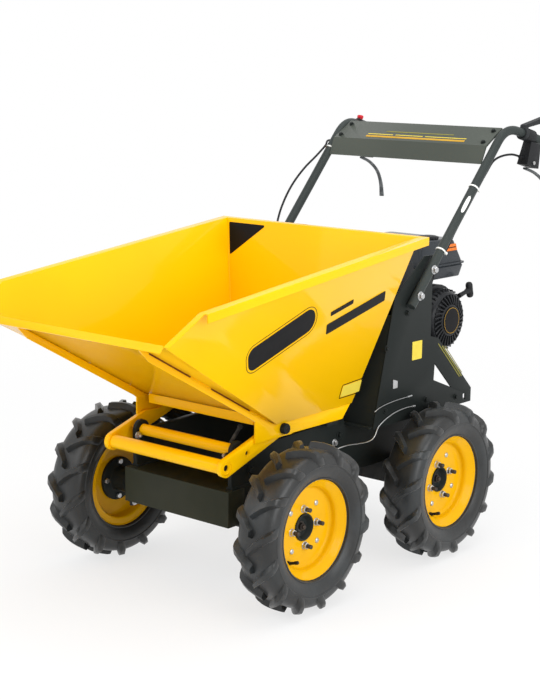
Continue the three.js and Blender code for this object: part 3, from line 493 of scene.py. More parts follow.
def curve_through(points, steps):
    """A smooth line through points, as in the CAD model's cables."""
    count = len(points)
    out = []
    for k in range(steps + 1):
        t = k / steps * (count - 1)
        i = min(int(t), count - 2)
        w = t - i
        p1, p2 = points[i], points[i + 1]
        p0 = points[i - 1] if i > 0 else p1 * 2 - p2
        p3 = points[i + 2] if i + 2 < count else p2 * 2 - p1
        spans = [max((b - a).length, 1e-6) ** 0.5 for a, b in ((p0, p1), (p1, p2), (p2, p3))]
        m1 = ((p1 - p0) / spans[0] - (p2 - p0) / (spans[0] + spans[1]) + (p2 - p1) / spans[1]) * spans[1]
        m2 = ((p2 - p1) / spans[1] - (p3 - p1) / (spans[1] + spans[2]) + (p3 - p2) / spans[2]) * spans[1]
        w2, w3 = w * w, w * w * w
        out.append(
            p1 * (2 * w3 - 3 * w2 + 1) + m1 * (w3 - 2 * w2 + w) + p2 * (3 * w2 - 2 * w3) + m2 * (w3 - w2)
        )
    return out


def outward(part):
    """The part with its faces turned out, judged by its signed volume."""
    vertices, faces = part
    volume = 0.0
    for face in faces:
        a = vertices[face[0]]
        for i in range(1, len(face) - 1):
            volume += a.dot(vertices[face[i]].cross(vertices[face[i + 1]]))
    return part if volume > 0 else (vertices, [face[::-1] for face in faces])


def ease_edges(made, width, segments, angle):
    edges = made.modifiers.new("edges", "BEVEL")
    edges.width = width * MM
    edges.segments = segments
    edges.limit_method = "ANGLE"
    edges.angle_limit = math.radians(angle)
    return edges


def piece(name, parts, body, sharp=38, bevel=0.0, replaces=()):
    """A mesh object out of {material: part}, riding on a body."""
    keys = list(parts)
    vertices, faces = joined(*parts.values())
    mesh = bpy.data.meshes.new(name)
    mesh.from_pydata(vertices, [], faces)
    for key in keys:
        mesh.materials.append(MATERIALS[key].material)
    indices = [index for index, part in enumerate(parts.values()) for _ in part[1]]
    mesh.polygons.foreach_set("material_index", indices)
    mesh.polygons.foreach_set("use_smooth", [True] * len(faces))
    mesh.set_sharp_from_angle(angle=math.radians(sharp))
    mesh.update()
    made = bpy.data.objects.new(name, mesh)
    bpy.context.scene.collection.objects.link(made)
    if bevel:
        ease_edges(made, bevel, 2, 30).harden_normals = True
    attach(made, body)
    if replaces:
        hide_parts(*replaces)


# ---------------------------------------------------------------- CAD nodes that stay


def soft_shading():
    """Node group that drops the imported normals and shades smooth up to an angle."""
    group = bpy.data.node_groups.new("soft_shading", "GeometryNodeTree")
    group.interface.new_socket("Geometry", in_out="INPUT", socket_type="NodeSocketGeometry")
    group.interface.new_socket("Geometry", in_out="OUTPUT", socket_type="NodeSocketGeometry")
    start, end = group.nodes.new("NodeGroupInput"), group.nodes.new("NodeGroupOutput")
    angle = add_node(group, "GeometryNodeInputMeshEdgeAngle").outputs["Unsigned Angle"]
    steep = add_node(group, "FunctionNodeCompare", {0: angle, 1: math.radians(32)}, operation="GREATER_THAN")
    bare = add_node(group, "GeometryNodeRemoveAttribute", {0: start.outputs[0], "Name": "custom_normal"})
    faces = add_node(group, "GeometryNodeSetShadeSmooth", {0: bare.outputs[0]})
    values = {0: faces.outputs[0], "Selection": steep.outputs[0], "Shade Smooth": False}
    edges = add_node(group, "GeometryNodeSetShadeSmooth", values, domain="EDGE")
    plug(end, {0: edges.outputs[0]})
    return group


SOFT_SHADING = soft_shading()


def dress(node, material, bevel):
    """Gives a CAD node its material, with its edges eased."""
    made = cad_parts[node]
    made.data.materials.clear()
    made.data.materials.append(MATERIALS[material].material)
    weld = made.modifiers.new("weld", "WELD")
    weld.merge_threshold = 0.00002
    ease_edges(made, bevel, 3 if bevel >= 2 else 2, 40)
    shading = made.modifiers.new("shading", "NODES")
    shading.node_group = SOFT_SHADING


# the bevel of each CAD node that stays, in millimetres; a name that ends in _ has a left and a right
KEPT = {
    "skip": {
        "skip_side_": 1.0, "skip_rear": 0.8, "skip_floor": 0.6, "skip_slope": 0.9,
        "skip_bracket_": 0.9, "skip_cross_member": 0.9, "tip_arm_": 1.4,
    },
    "chassis": {
        "frame_rail_": 1.6, "engine_deck": 1.2, "side_plate_": 0.8, "engine_shield": 0.8, "engine_mount": 2.0,
    },
    "guard": {"front_guard": 1.2},
    "console": {"console": 0.8},
    "cast": {
        "front_axle_housing": 2.0, "rear_axle_housing": 2.0, "gearbox": 4.0, "drive_shaft_tube": 1.0,
        "engine_block": 3.0, "muffler": 3.0,
    },
    "cowl": {"fan_cowl": 3.0, "belt_cover": 3.0},
    "plastic": {"air_filter": 4.0, "lever_perch_": 2.5},
}


def dress_frame():
    for material, nodes in KEPT.items():
        for name, bevel in nodes.items():
            for node in [name + label for label, _ in SIDES] if name.endswith("_") else [name]:
                dress(node, material, bevel)


dress_frame()

# ---------------------------------------------------------------- fasteners and welds


def hexagon_head(matrix, across, height):
    """A hexagon head or nut with a chamfered top, its seat on the frame's origin."""
    corner = across / math.sqrt(3)
    profile = [(0, 0), (corner, 0), (corner, height * 0.8), (corner * 0.86, height), (0, height)]
    return lathe(profile, 6, matrix)


def washer(matrix, radius, thickness=1.6):
    profile = [(0, 0), (radius, 0), (radius, thickness * 0.7), (radius - 0.6, thickness), (0, thickness)]
    return lathe(profile, 24, matrix)


def raised(matrix, height):
    return matrix @ Matrix.Translation(mm(0, 0, height))


def spun(matrix, turn, reach, height=0.0):
    """A frame turned about its Z, then moved along its new X and up."""
    return matrix @ Matrix.Rotation(turn, 4, "Z") @ Matrix.Translation(mm(reach, 0, height))


def on_ring(matrix, radius, angle, height):
    """A frame moved to a place on a ring, and not turned."""
    return matrix @ Matrix.Translation(mm(radius * math.cos(angle), radius * math.sin(angle), height))


def threaded(matrix, radius, start, end, pitch=1.5):
    """A stud end with ridges for its thread."""
    profile = [(0, start)]
    turns = max(2, int((end - start) / pitch))
    for k in range(turns):
        low = start + (end - start) * k / turns
        profile += [(radius - 0.5, low), (radius, low + pitch * 0.4)]
    profile += [(radius - 0.5, end - 0.4), (radius - 1.2, end), (0, end)]
    return lathe(profile, 14, matrix)


def bolt(origin, axis, across=13, stub=0.0):
    """Washer, head and, for a stub, the thread end that stands out of a nut."""
    matrix = facing(origin, axis)
    parts = [washer(matrix, across * 0.78), hexagon_head(raised(matrix, 1.6), across, across * 0.5)]
    if stub:
        parts.append(threaded(raised(matrix, 1.6 + across * 0.5), across * 0.3, 0, stub))
    return joined(*parts)


def weld_bead(a, b, radius=2.2, ripple=4.0):
    """A rippled bead along a straight joint."""
    length = (b - a).length / MM
    steps = max(6, int(length / ripple) * 4)
    points = [a.lerp(b, k / steps) for k in range(steps + 1)]

    def section(share):
        wave = abs(math.sin(share * length / ripple * math.pi))
        size = radius * (0.72 + 0.28 * wave) * min(1, 6 * share + 0.2, 6 * (1 - share) + 0.2)
        return circle(size, 8)

    return outward(swept(points, section))


# ---------------------------------------------------------------- wheels

# [across, radius] of the casing's outer line from the crown to the bead
CASING = [
    (0, 187.5), (14, 187.2), (28, 186.0), (39, 183.0), (46, 177.5), (50, 169), (51.8, 158), (51, 147),
    (47.5, 135), (41, 125), (36.2, 120.6),
]


def casing_point(distance):
    """Across, radius and the outward normal at a distance along the casing's line."""
    for (a0, r0), (a1, r1) in zip(CASING, CASING[1:]):
        step = math.hypot(a1 - a0, r1 - r0)
        if distance <= step or (a1, r1) == CASING[-1]:
            share = min(distance / step, 1)
            normal = ((r0 - r1) / step, (a1 - a0) / step)
            return a0 + (a1 - a0) * share, r0 + (r1 - r0) * share, normal
        distance -= step


LUG_SWEEP = 0.30  # how far round the tyre a lug runs from its shoulder to the crown, in radians
LUG_LENGTH = 74  # along the casing, from the crown down the shoulder
LUG_HEIGHT = 14.5
LUG_HALF_WIDTH = 8.5  # at its end on the crown
LUG_FLARE = 5.5  # how much more that is at the shoulder
LUG_STATIONS = 14
LUG_SINK = 3  # how far its feet are inside the casing
LUG_OVERLAP = 3  # how far past the middle of the tread it starts
# [share of the half width, share of the height] across a lug; its feet are given in millimetres
LUG_SECTION = ((-1.0, -LUG_SINK), (-0.74, 0.62), (-0.5, 1), (0.5, 1), (0.74, 0.62), (1.0, -LUG_SINK))
RIDGE_RADII = (158, 125)  # where the casing has a moulded ridge
RIDGE = ((1.2, 1.1), (3.4, 0.9), (4.4, -0.6))  # its steps inward and outboard


def lug(matrix, side, turn):
    """One bar of the tread, from the crown over the shoulder, in the wheel's frame."""
    rings = []
    for k in range(LUG_STATIONS):
        share = k / (LUG_STATIONS - 1)
        across, radius, (out_across, out_radius) = casing_point(share * LUG_LENGTH)
        height = LUG_HEIGHT * min(1, (1 - share) * 3.2 + 0.12)
        lead = LUG_SWEEP * (1 - share) ** 1.25
        half = LUG_HALF_WIDTH + LUG_FLARE * share
        ring = []
        for offset, lift in LUG_SECTION:
            rise = lift if lift < 0 else lift * height
            a = min(across + out_across * rise - LUG_OVERLAP, TYRE_HALF_WIDTH)
            r = min(radius + out_radius * rise, TYRE_REACH)
            spread = (half + 4) * offset if lift < 0 else (half + 2.2) * offset
            angle = turn + lead + spread / r
            ring.append(matrix @ Vector((r * math.sin(angle), a * side, r * math.cos(angle))))
        rings.append(ring)
    return outward(bridged(rings))


def wheel_matrix(centre):
    """Millimetres about a wheel's centre, on the machine's axes, to the row frame."""
    return Matrix.Translation(centre) @ Matrix.Diagonal((MM, MM, MM, 1))


def tyre_parts(centre, outboard, turned):
    ridges = []
    for across, radius in CASING[1:]:
        ridges.append((radius, across))
        if radius in RIDGE_RADII:
            ridges += [(radius - inward, across + out) for inward, out in RIDGE]
    bead = [(RIM_RADIUS + 0.4, 34.6), (RIM_RADIUS - 2.0, 29.0), (SEAT_RADIUS + 1.4, 14.5)]
    inboard_bead = [(SEAT_RADIUS + 1.4, -26), (RIM_RADIUS + 0.4, -32.2), (RIM_RADIUS + 0.6, -35.2)]
    profile = [(CASING[0][1], 0), *ridges, *bead, *inboard_bead, *((r, -a) for r, a in reversed(ridges))]
    casing = lathe(profile, 120, turned)
    matrix = wheel_matrix(centre)
    pitch = 2 * math.pi / LUGS
    bars = [lug(matrix, outboard, k * pitch) for k in range(LUGS)]
    bars += [lug(matrix, -outboard, (k + 0.5) * pitch) for k in range(LUGS)]
    return joined(outward(casing), *bars)


def rim_part(turned):
    hole, seat, rim = HUB_RADIUS + 0.5, SEAT_RADIUS, RIM_RADIUS
    points = [
        (hole, DISC_FACE), (seat - 4, DISC_FACE), (seat - 2.4, 17.5), (rim - 4, 32.0),
        (rim - 1.2, 35.8), (rim, 34.4), (rim - 2.6, 29.6), (seat + 0.6, 15.5),
        (seat, -26.5), (seat + 5, -30.4), (rim, -33.4), (rim - 1.2, -35.8),
        (rim - 4, -32.6), (seat - 3.2, -31.5), (seat - 3.2, -3.0), (hole, -3.0),
    ]
    radii = [0.8, 11, 16, 6, 0.8, 1, 6, 16, 3, 2, 1, 0.8, 3, 5, 3, 0.8]
    return lathe(rounded(points, radii, 6), 96, turned)


def hub_part(turned):
    """The half shaft, the flange behind the disc, and the open nose through it."""
    bearing = 225 - WHEEL_Y
    barrel = 252 - WHEEL_Y
    points = [
        (0, bearing), (15, bearing), (15, barrel), (30, barrel), (30, FLANGE_BACK), (56, FLANGE_BACK),
        (56, -3.3), (HUB_RADIUS, -3.3), (HUB_RADIUS, 4.2), (HUB_RADIUS - 4, 4.8),
        (22, NOSE_FLOOR), (0, NOSE_FLOOR),
    ]
    radii = [0, 1, 3, 2, 4, 2, 0.5, 0.5, 1.5, 2, 3, 0]
    return lathe(rounded(points, radii), 48, turned)


def add_wheel(end, side, outboard, twist):
    label = f"{end}_{side}"
    body = f"{label}_wheel"
    centre = WHEEL_CENTRES[end].copy()
    centre.y = abs(centre.y) * outboard
    turned = facing(centre, (0, outboard, 0))
    for name, node, parts in (
        ("lugged_tyre", "tyre", {"tyre": tyre_parts(centre, outboard, turned)}),
        ("wheel_disc", "rim", {"rim": rim_part(turned)}),
        ("wheel_hub", "hub", {"chassis": hub_part(turned)}),
    ):
        piece(f"{name}_{label}", parts, body, 30, replaces=[f"{node}_{label}"])
    nuts, studs = [], []
    for k in range(4):
        angle = twist + k * math.pi / 2
        spot = on_ring(turned, STUD_CIRCLE, angle, DISC_FACE)
        nuts += [washer(spot, 9.5), hexagon_head(raised(spot, 1.4), 15, 8.5)]
        studs.append(threaded(raised(spot, 9.8), 5.2, 0, 13))
        behind = on_ring(turned, STUD_CIRCLE, angle, FLANGE_BACK) @ Matrix.Rotation(math.pi, 4, "X")
        nuts.append(hexagon_head(behind, 13, 6))
        rivet = on_ring(turned, RIVET_CIRCLE, angle + math.pi / 4, DISC_FACE)
        nuts.append(lathe([(0, 0), (6.8, 0), (6.4, 1.6), (4.6, 3.0), (0, 3.5)], 18, rivet))
    axle_nut = raised(turned, NOSE_FLOOR)
    studs += [washer(axle_nut, 13), hexagon_head(raised(axle_nut, 1.6), 17, 7)]
    studs.append(threaded(raised(axle_nut, 8.4), 5.6, 0, 5))
    piece(f"wheel_nuts_{label}", {"steel": joined(*nuts), "dark_steel": joined(*studs)}, body, 30)
    stem = spun(turned, twist + 2.4, SEAT_RADIUS - 8, 8) @ Matrix.Rotation(math.radians(-18), 4, "Y")
    profile = [(0, -8), (6.5, -8), (6, -3), (3.8, 3), (3.4, 14), (4.4, 14.5)]
    profile += [(4.4, 22), (3.4, 23.5), (0, 23.5)]
    piece(f"valve_{label}", {"cable": lathe(profile, 16, stem)}, body, 30)


for wheel_end, wheel_twist in (("front", 0.06), ("rear", 0.32)):
    for wheel_side, wheel_outboard in SIDES:
        add_wheel(wheel_end, wheel_side, wheel_outboard, wheel_twist)

# ---------------------------------------------------------------- tip frame


def across_machine(x, z):
    """A frame on the machine's centre plane with its Z to the left."""
    return facing(at(x, 0, z), (0, 1, 0))


def bar_ends(place, reach):
    """Frames at the left and right ends of a bar across the machine, each with its Z outward."""
    return [facing(at(place[0], side * reach, place[1]), (0, side, 0)) for _, side in SIDES]


def both_ways(half):
    """A bar's profile from its right end to its left, given from an end to the middle."""
    return [(radius, -y) for radius, y in half] + half[::-1]


def add_bar(name, node, material, profile, segments, place, caps):
    """A turned bar of the tip frame. A cap is [material, distance out, profile, segments] and stands
    at both ends."""
    parts = {material: [lathe(profile, segments, across_machine(*place))]}
    for key, reach, cap, cap_segments in caps:
        parts.setdefault(key, []).extend(lathe(cap, cap_segments, end) for end in bar_ends(place, reach))
    piece(name, {key: joined(*made) for key, made in parts.items()}, "tip_frame", replaces=[node])


def add_tip_frame():
    reach, radius = ARM_OUTER - 0.2, FRONT_TUBE_RADIUS
    wall = rounded([(radius, -reach), (radius, reach), (13, reach), (13, -reach)], [1.2, 1.2, 0.8, 0.8])
    cap = [(7.6, -5), (12.9, -5), (12.9, -0.6), (12.3, 0), (8.2, 0), (7.6, -0.6)]
    hole = [(0, -5), (7.8, -5), (7.8, -4), (0, -4)]
    caps = [("skip", reach - 1, cap, 40), ("hole", reach - 1, hole, 32)]
    add_bar("lift_bar", "front_tube", "skip", wall, 48, FRONT_TUBE, caps)
    outer, sleeve = ARM_OUTER, RAIL_INNER + 3.8
    half = [(0, outer - 6), (5.6, outer - 6), (5.6, outer - 0.9), (6.2, outer - 0.3), (7.4, outer - 0.3)]
    half += [(8, outer - 0.9), (8, sleeve), (13, sleeve), (14, sleeve - 1)]
    caps = [("hole", outer - 6, [(0, 0.05), (5.5, 0.05), (5.5, 1), (0, 1)], 24)]
    add_bar("pivot_bar", "pivot_tube", "skip", both_ways(half), 40, PIVOT, caps)
    head = BRACKET_OUTER + 1
    half = [(0, head + 12), (11.5, head + 12), (13, head + 10), (13, head), (8, head)]
    caps = [("dark_steel", head + 11, [(0, 0), (6, 0), (5.4, 1), (0, 1.0)], 20)]
    add_bar("skip_hinge_pin", "skip_pin", "chassis", both_ways(half), 36, SKIP_PIN, caps)
    welds = []
    radius += 1.4
    for _, side in SIDES:
        ring = []
        for k in range(49):
            turn = k * math.pi / 24
            x, z = FRONT_TUBE[0] + radius * math.cos(turn), FRONT_TUBE[1] + radius * math.sin(turn)
            ring.append(at(x, side * (ARM_INNER - 0.6), z))
        welds.append(outward(swept(ring, lambda share: circle(1.7 + 0.5 * abs(math.sin(share * 60)), 8))))
    piece("lift_bar_welds", {"weld": joined(*welds)}, "tip_frame", 60)


add_tip_frame()

# ---------------------------------------------------------------- skip


FOOT = Vector((FLOOR_REAR[0], FLOOR_HALF, FLOOR_REAR[1]))  # of the left wall, at its rear


def side_frame():
    """Lies in the left wall's outer face: X forward, Y up the wall, Z outward, at its rear foot."""
    top_rear = Vector((RIM_REAR[0], RIM_HALF, RIM_REAR[1]))
    top_front = Vector((RIM_FRONT[0], RIM_HALF, RIM_FRONT[1]))
    normal = (top_rear - FOOT).cross(top_front - FOOT).normalized()
    forward = (Vector((1, 0, 0)) - normal * normal.x).normalized()
    return Matrix.Translation(at(*FOOT)) @ axes(forward, normal.cross(forward), normal), forward, normal


SIDE_FRAME, SIDE_FORWARD, SIDE_NORMAL = side_frame()


def wall_y(x, z):
    """The left wall's outer face at a place, as a half width."""
    return FOOT.y - (SIDE_NORMAL.x * (x - FOOT.x) + SIDE_NORMAL.z * (z - FOOT.z)) / SIDE_NORMAL.y


def on_side(x, z):
    """A place on the left wall, given by its x and z on the machine, in the wall's own frame."""
    offset = Vector((x, wall_y(x, z), z)) - FOOT
    return offset.dot(SIDE_FORWARD), offset.dot(SIDE_NORMAL.cross(SIDE_FORWARD))


def bar_outline(a, b, half, radius_a, radius_b):
    """A rounded bar between two places, with a radius at each end."""
    start, end = Vector(a), Vector(b)
    along = (end - start).normalized()
    off = Vector((-along.y, along.x)) * half
    points = [start + off, end + off, end - off, start - off]
    return rounded([tuple(p) for p in points], [radius_a, radius_b, radius_b, radius_a], 8)


def grown(outline, distance):
    """An outline's points moved out from its centre, square to its line."""
    centre = Vector((sum(p[0] for p in outline) / len(outline), sum(p[1] for p in outline) / len(outline)))
    ring = []
    for i, p in enumerate(outline):
        before, after = Vector(outline[i - 1]), Vector(outline[(i + 1) % len(outline)])
        along = (after - before).normalized()
        normal = Vector((along.y, -along.x))
        if normal.dot(Vector(p) - centre) < 0:
            normal = -normal
        ring.append(Vector(p) + normal * distance)
    return ring


def ring_part(outline, outer, inner, low, high, matrix):
    """The band between an outline grown by two distances, made solid between two heights."""
    outside, inside = grown(outline, outer), grown(outline, inner)
    loops = ((outside, low), (outside, high), (inside, high), (inside, low))
    rings = [[matrix @ mm(*p, height) for p in points] for points, height in loops]
    return outward(bridged(rings, loop=True))


FILM = (0.05, 0.45)  # how far the two faces of a film stand off the panel under it


def add_side_marks():
    """Blank shapes where the left wall carries its markings."""
    badge = bar_outline(on_side(428, 607), on_side(212, 688), 31, 22, 30)
    upper = bar_outline(on_side(150, 684), on_side(68, 706), 6, 2.5, 2.5)
    lower = bar_outline(on_side(152, 646), on_side(-66, 704), 14, 4, 4)
    plate = rounded([on_side(18, 447), on_side(17, 484), on_side(-70, 489), on_side(-73, 449)], [4] * 4)
    inner = rounded([on_side(12, 451), on_side(11, 480), on_side(-65, 484), on_side(-67, 453)], [2] * 4)
    marks = [prism(badge, *FILM, SIDE_FRAME), ring_part(badge, 7.2, 5.6, *FILM, SIDE_FRAME)]
    marks += [prism(upper, *FILM, SIDE_FRAME), prism(lower, *FILM, SIDE_FRAME)]
    marks.append(ring_part(plate, 0, -2.4, *FILM, SIDE_FRAME))
    label = prism(inner, FILM[0], FILM[1] - 0.1, SIDE_FRAME)
    piece("side_marks", {"black_film": joined(*marks), "yellow_film": label}, "skip")


def add_corner_mark():
    """The blank triangle inside the far rear corner."""
    foot, top = Vector((FLOOR_REAR[0], 0, FLOOR_REAR[1])), Vector((RIM_REAR[0], 0, RIM_REAR[1]))
    across, up = Vector((0, 1, 0)), (top - foot).normalized()
    normal = across.cross(up)
    matrix = Matrix.Translation(at(*(top + normal * (SKIP_SHEET + FILM[0])))) @ axes(across, up, normal)
    outline = rounded([(-303, -12), (-172, -12), (-281, -100)], [3] * 3)
    piece("corner_mark", {"black_film": prism(outline, 0, FILM[1], matrix)}, "skip")


def on_slope(x, y, depth):
    """A place under the slope's upper face, at a depth below it."""
    rise = (LIP[1] - FLOOR_FRONT[1]) / (LIP[0] - FLOOR_FRONT[0])
    return at(x, y, FLOOR_FRONT[1] + rise * (x - FLOOR_FRONT[0]) - depth)


def add_skip_welds():
    """Welds of the beams under the slope and the floor, and dark strips that paint the shade in the gaps left
    between them.
    """
    beads, gap_shade = [], []
    under = FLOOR_REAR[1] - 0.6
    strip = [(-0.8, -1.9), (0.8, -1.9), (0.8, 1.9), (-0.8, 1.9)]
    for _, side in SIDES:
        y = side * (BRACKET_OUTER + 0.2)
        # dark strips along the gaps under the slope: painted shade
        for start, end in ((668, 540), (472, 340)):
            gap_shade.append(outward(swept([on_slope(x, y, 1.6) for x in (start, end)], lambda share: strip)))
        for start, end in ((540, 472), (340, 272)):
            beads.append(weld_bead(on_slope(start, y, 1.2), on_slope(end, y, 1.2), 2.6))
        for start, end in ((-30, 30), (70, 120), (190, 245)):
            beads.append(weld_bead(at(start, y, under), at(end, y, under), 1.8))
    for x in (284, 292):
        for y0, y1 in ((-150, -110), (110, 150)):
            beads.append(weld_bead(on_slope(x, y0, 1.4), on_slope(x, y1, 1.4), 1.8))
    piece("skip_welds", {"weld": joined(*beads)}, "skip", 60)
    piece("beam_gap_shade", {"seam": joined(*gap_shade)}, "skip")


def add_corner_seams():
    """Continuous beads where the panels of the skip meet inside."""
    beads = []
    floor = SKIP_SHEET + 0.4
    inset = (SKIP_SHEET + 0.2) / SIDE_NORMAL.y + 0.5
    line = [
        (RIM_REAR[0] + 3.4, RIM_REAR[1] - 5), (FLOOR_REAR[0] + 3.6, FLOOR_REAR[1] + floor),
        (FLOOR_FRONT[0] - 1.6, FLOOR_FRONT[1] + floor), (LIP[0] - 8, LIP[1] + 0.2),
    ]
    for _, side in SIDES:
        corners = [at(x, side * (wall_y(x, z) - inset), z) for x, z in line]
        beads += [weld_bead(a, b, 1.9, 6.0) for a, b in zip(corners, corners[1:])]
    piece("corner_seams", {"weld": joined(*beads)}, "skip", 60)


add_side_marks()
add_corner_mark()
add_skip_welds()
add_corner_seams()

# ---------------------------------------------------------------- chassis trim


def plate_part(outline, y0, y1):
    """A side-view outline, [x, z] on the machine, made solid between two values of y."""
    matrix = Matrix.Translation(at(0, 0, 0)) @ axes((1, 0, 0), (0, 0, 1), (0, 1, 0))
    return outward(prism(outline, y0, y1, matrix))


def block_part(x0, x1, y0, y1, z0, z1):
    return plate_part([(x0, z0), (x1, z0), (x1, z1), (x0, z1)], y0, y1)


def add_side_plate_trim():
    outer = SIDE_PLATE_OUTER
    label = panel(-276, -233, 513, 561, 2)
    piece("side_label", {"yellow_film": plate_part(label, outer + 0.05, outer + 0.5)}, "chassis")
    strips = []
    foot, head = Vector((-470, 436)), Vector((-352, 552))
    along = (head - foot).normalized()
    off = Vector((-along.y, along.x))
    for shift, half, a, b in ((-9, 1.6, 0.06, 0.96), (-2, 2.0, 0.02, 0.84), (5, 1.4, 0.06, 0.78)):
        start, end = (foot.lerp(head, share) + off * shift for share in (a, b))
        outline = [start + off * half, end + off * half, end - off * half, start - off * half]
        outline = rounded([tuple(p) for p in outline], [1] * 4)
        strips.append(plate_part(outline, outer + FILM[0], outer + FILM[1]))
    piece("brace_strips", {"dull_film": joined(*strips)}, "chassis")
    bolts = []
    for _, side in SIDES:
        for x, z in ((-120, 400), (-120, 560), (-205, 640), (-300, 400), (-440, 384)):
            bolts.append(bolt(at(x, side * outer, z), (0, side, 0), 10))
    piece("side_plate_bolts", {"chassis": joined(*bolts)}, "chassis", 30)
    tab = rounded([(-150, 452), (-150, 476), (-169, 470), (-169, 452)], [2] * 4)
    piece("wire_tab", {"steel": plate_part(tab, outer + 0.05, outer + 3)}, "chassis", bevel=0.5)


def add_frame_bolts():
    """Bolts of the rails and of the axle housings."""
    silver, dark = [], []
    for _, side in SIDES:
        for x, z in ((-40, 338), (-200, 338), (-380, 338), (120, 338), (300, 318)):
            dark.append(bolt(at(x, side * RAIL_OUTER, z), (0, side, 0), 13))
        silver.append(bolt(at(-22, side * RAIL_OUTER, 322), (0, side, 0), 12))
        for centre_x in (WHEEL_X, -WHEEL_X):
            for x in (-36, 36):
                for z in (-36, 18):
                    place = at(centre_x + x, side * 208, AXLE_HEIGHT + z)
                    silver.append(bolt(place, (0, -side, 0), 11))
    piece("frame_bolts", {"chassis": joined(*dark)}, "chassis", 30)
    piece("housing_bolts", {"steel": joined(*silver)}, "chassis", 30)


def add_pivot_trim():
    """A nut by each pivot lug, and a thin stay that leans back between the rails."""
    nuts = [bolt(at(PIVOT[0] + 22, side * RAIL_INNER, 358), (0, -side, 0), 12, 5) for _, side in SIDES]
    top, foot = at(214, 60, 391), at(262, 60, 344)
    stay = rod([foot.lerp(top, k / 6) for k in range(7)], 4.5, 14)
    ends = [rod([foot, foot.lerp(top, 0.12)], 7, 14), rod([top, top.lerp(foot, 0.1)], 6.5, 14)]
    piece("lug_nuts", {"steel": joined(*nuts)}, "chassis", 30)
    piece("frame_stay", {"alloy": joined(stay, *ends)}, "chassis", 30)


def add_hoses():
    """Three hoses off the right rail, up behind the front tyre and down to the axle; a thin left wire."""
    top = [
        (-30, -176, 322), (40, -205, 322), (100, -227, 354), (150, -230, 382), (200, -230, 400),
        (246, -229, 405), (286, -225, 382), (300, -212, 325), (292, -198, 234),
    ]
    lines = []
    for k in range(3):
        back, drop = 9 * k, 15 * k
        route = [(x - (back if x > 280 else 0), y, z - (drop if z > 240 else 0)) for x, y, z in top]
        lines.append(through(route, 90))
    sheaths = [rod(line, HOSE_RADIUS, 14) for line in lines]
    ends = [rod(part, HOSE_RADIUS + 1, 14) for line in lines for part in (line[:5], line[-5:])]
    clip = prism(panel(-26, 26, -10, 10, 9), -5, 5, facing(lines[1][36], lines[1][38] - lines[1][34]))
    piece("axle_hoses", {"cable": joined(*sheaths), "steel": joined(*ends), "plastic": clip}, "chassis", 40)
    side = SIDE_PLATE_OUTER + 1.6
    wire = through([(-78, side - 2, 404), (-96, side, 412), (-150, side + 0.4, 419), (-235, side, 421)], 40)
    piece("side_wire", {"steel": joined(rod(wire, 0.9, 8), rod(wire[-4:], 2.2, 10))}, "chassis", 40)


add_side_plate_trim()
add_frame_bolts()
add_pivot_trim()
add_hoses()

# ---------------------------------------------------------------- engine


STARTER_RIBS = 30
STARTER_FINS = 36
# [share of the half width, height] across a rib
RIB_SECTION = ((-1, -13), (-0.9, -0.8), (-0.45, 0), (0.45, 0), (0.9, -0.8), (1, -13))


def add_recoil_starter():
    matrix = facing(at(CRANK[0], 0, CRANK[1]), (0, 1, 0))
    radius, low, high = RECOIL_RADIUS, RECOIL_INNER, RECOIL_OUTER
    body = rounded(
        [
            (0, low), (radius, low), (radius + 2.8, low + 14), (radius - 4, high - 16), (69, high - 8.5),
            (66, high - 15), (45, high - 13), (43, high - 2.5), (0, high - 1.5),
        ],
        [0, 2, 6, 8, 3, 2, 2, 3, 0],
        5,
    )
    ribs = []
    for k in range(STARTER_RIBS):
        turn = 2 * math.pi * k / STARTER_RIBS
        rings = []
        for share in (0.0, 0.5, 1.0):
            reach, half = 44 + 24 * share, 1.7 + 1.3 * share
            lean = Matrix.Rotation(turn + 0.16 * share, 4, "Z")
            top = high - 1.9 - 5.9 * share
            spots = [lean @ mm(reach, a * half, 0) + mm(0, 0, top + h) for a, h in RIB_SECTION]
            rings.append([matrix @ spot for spot in spots])
        ribs.append(outward(bridged(rings)))
    fin = rounded([(-2, -2.2), (1.4, -1.6), (1.4, 1.6), (-2, 2.2)], [0.6] * 4)
    turns = [2 * math.pi * k / STARTER_FINS for k in range(STARTER_FINS)]
    fins = [prism(fin, -11, 14, spun(matrix, turn, radius + 1.2, low + 16)) for turn in turns]
    turns = [0.5 + 2 * math.pi * k / 3 for k in range(3)]
    bolts = [hexagon_head(spun(matrix, turn, 88, low - 0.4), 10, 5) for turn in turns]
    disc = [(0, high - 1.6), (37, high - 1.9), (38, high - 0.6), (36, high - 0.1), (0, high - 0.1)]
    disc = rounded(disc, [0, 0, 0.5, 1, 0])
    ring = [(33.6, high - 0.2), (34.6, high - 0.2), (34.6, high), (33.6, high)]
    ring = lathe(rounded(ring, [0, 0, 0.1, 0.1]), 64, matrix)
    piece(
        "starter_housing",
        {
            "cowl": joined(lathe(body, 96, matrix), *ribs, *fins), "black_film": lathe(disc, 64, matrix),
            "ochre_film": ring, "steel": joined(*bolts),
        },
        "chassis",
        32,
        replaces=["recoil_starter"],
    )


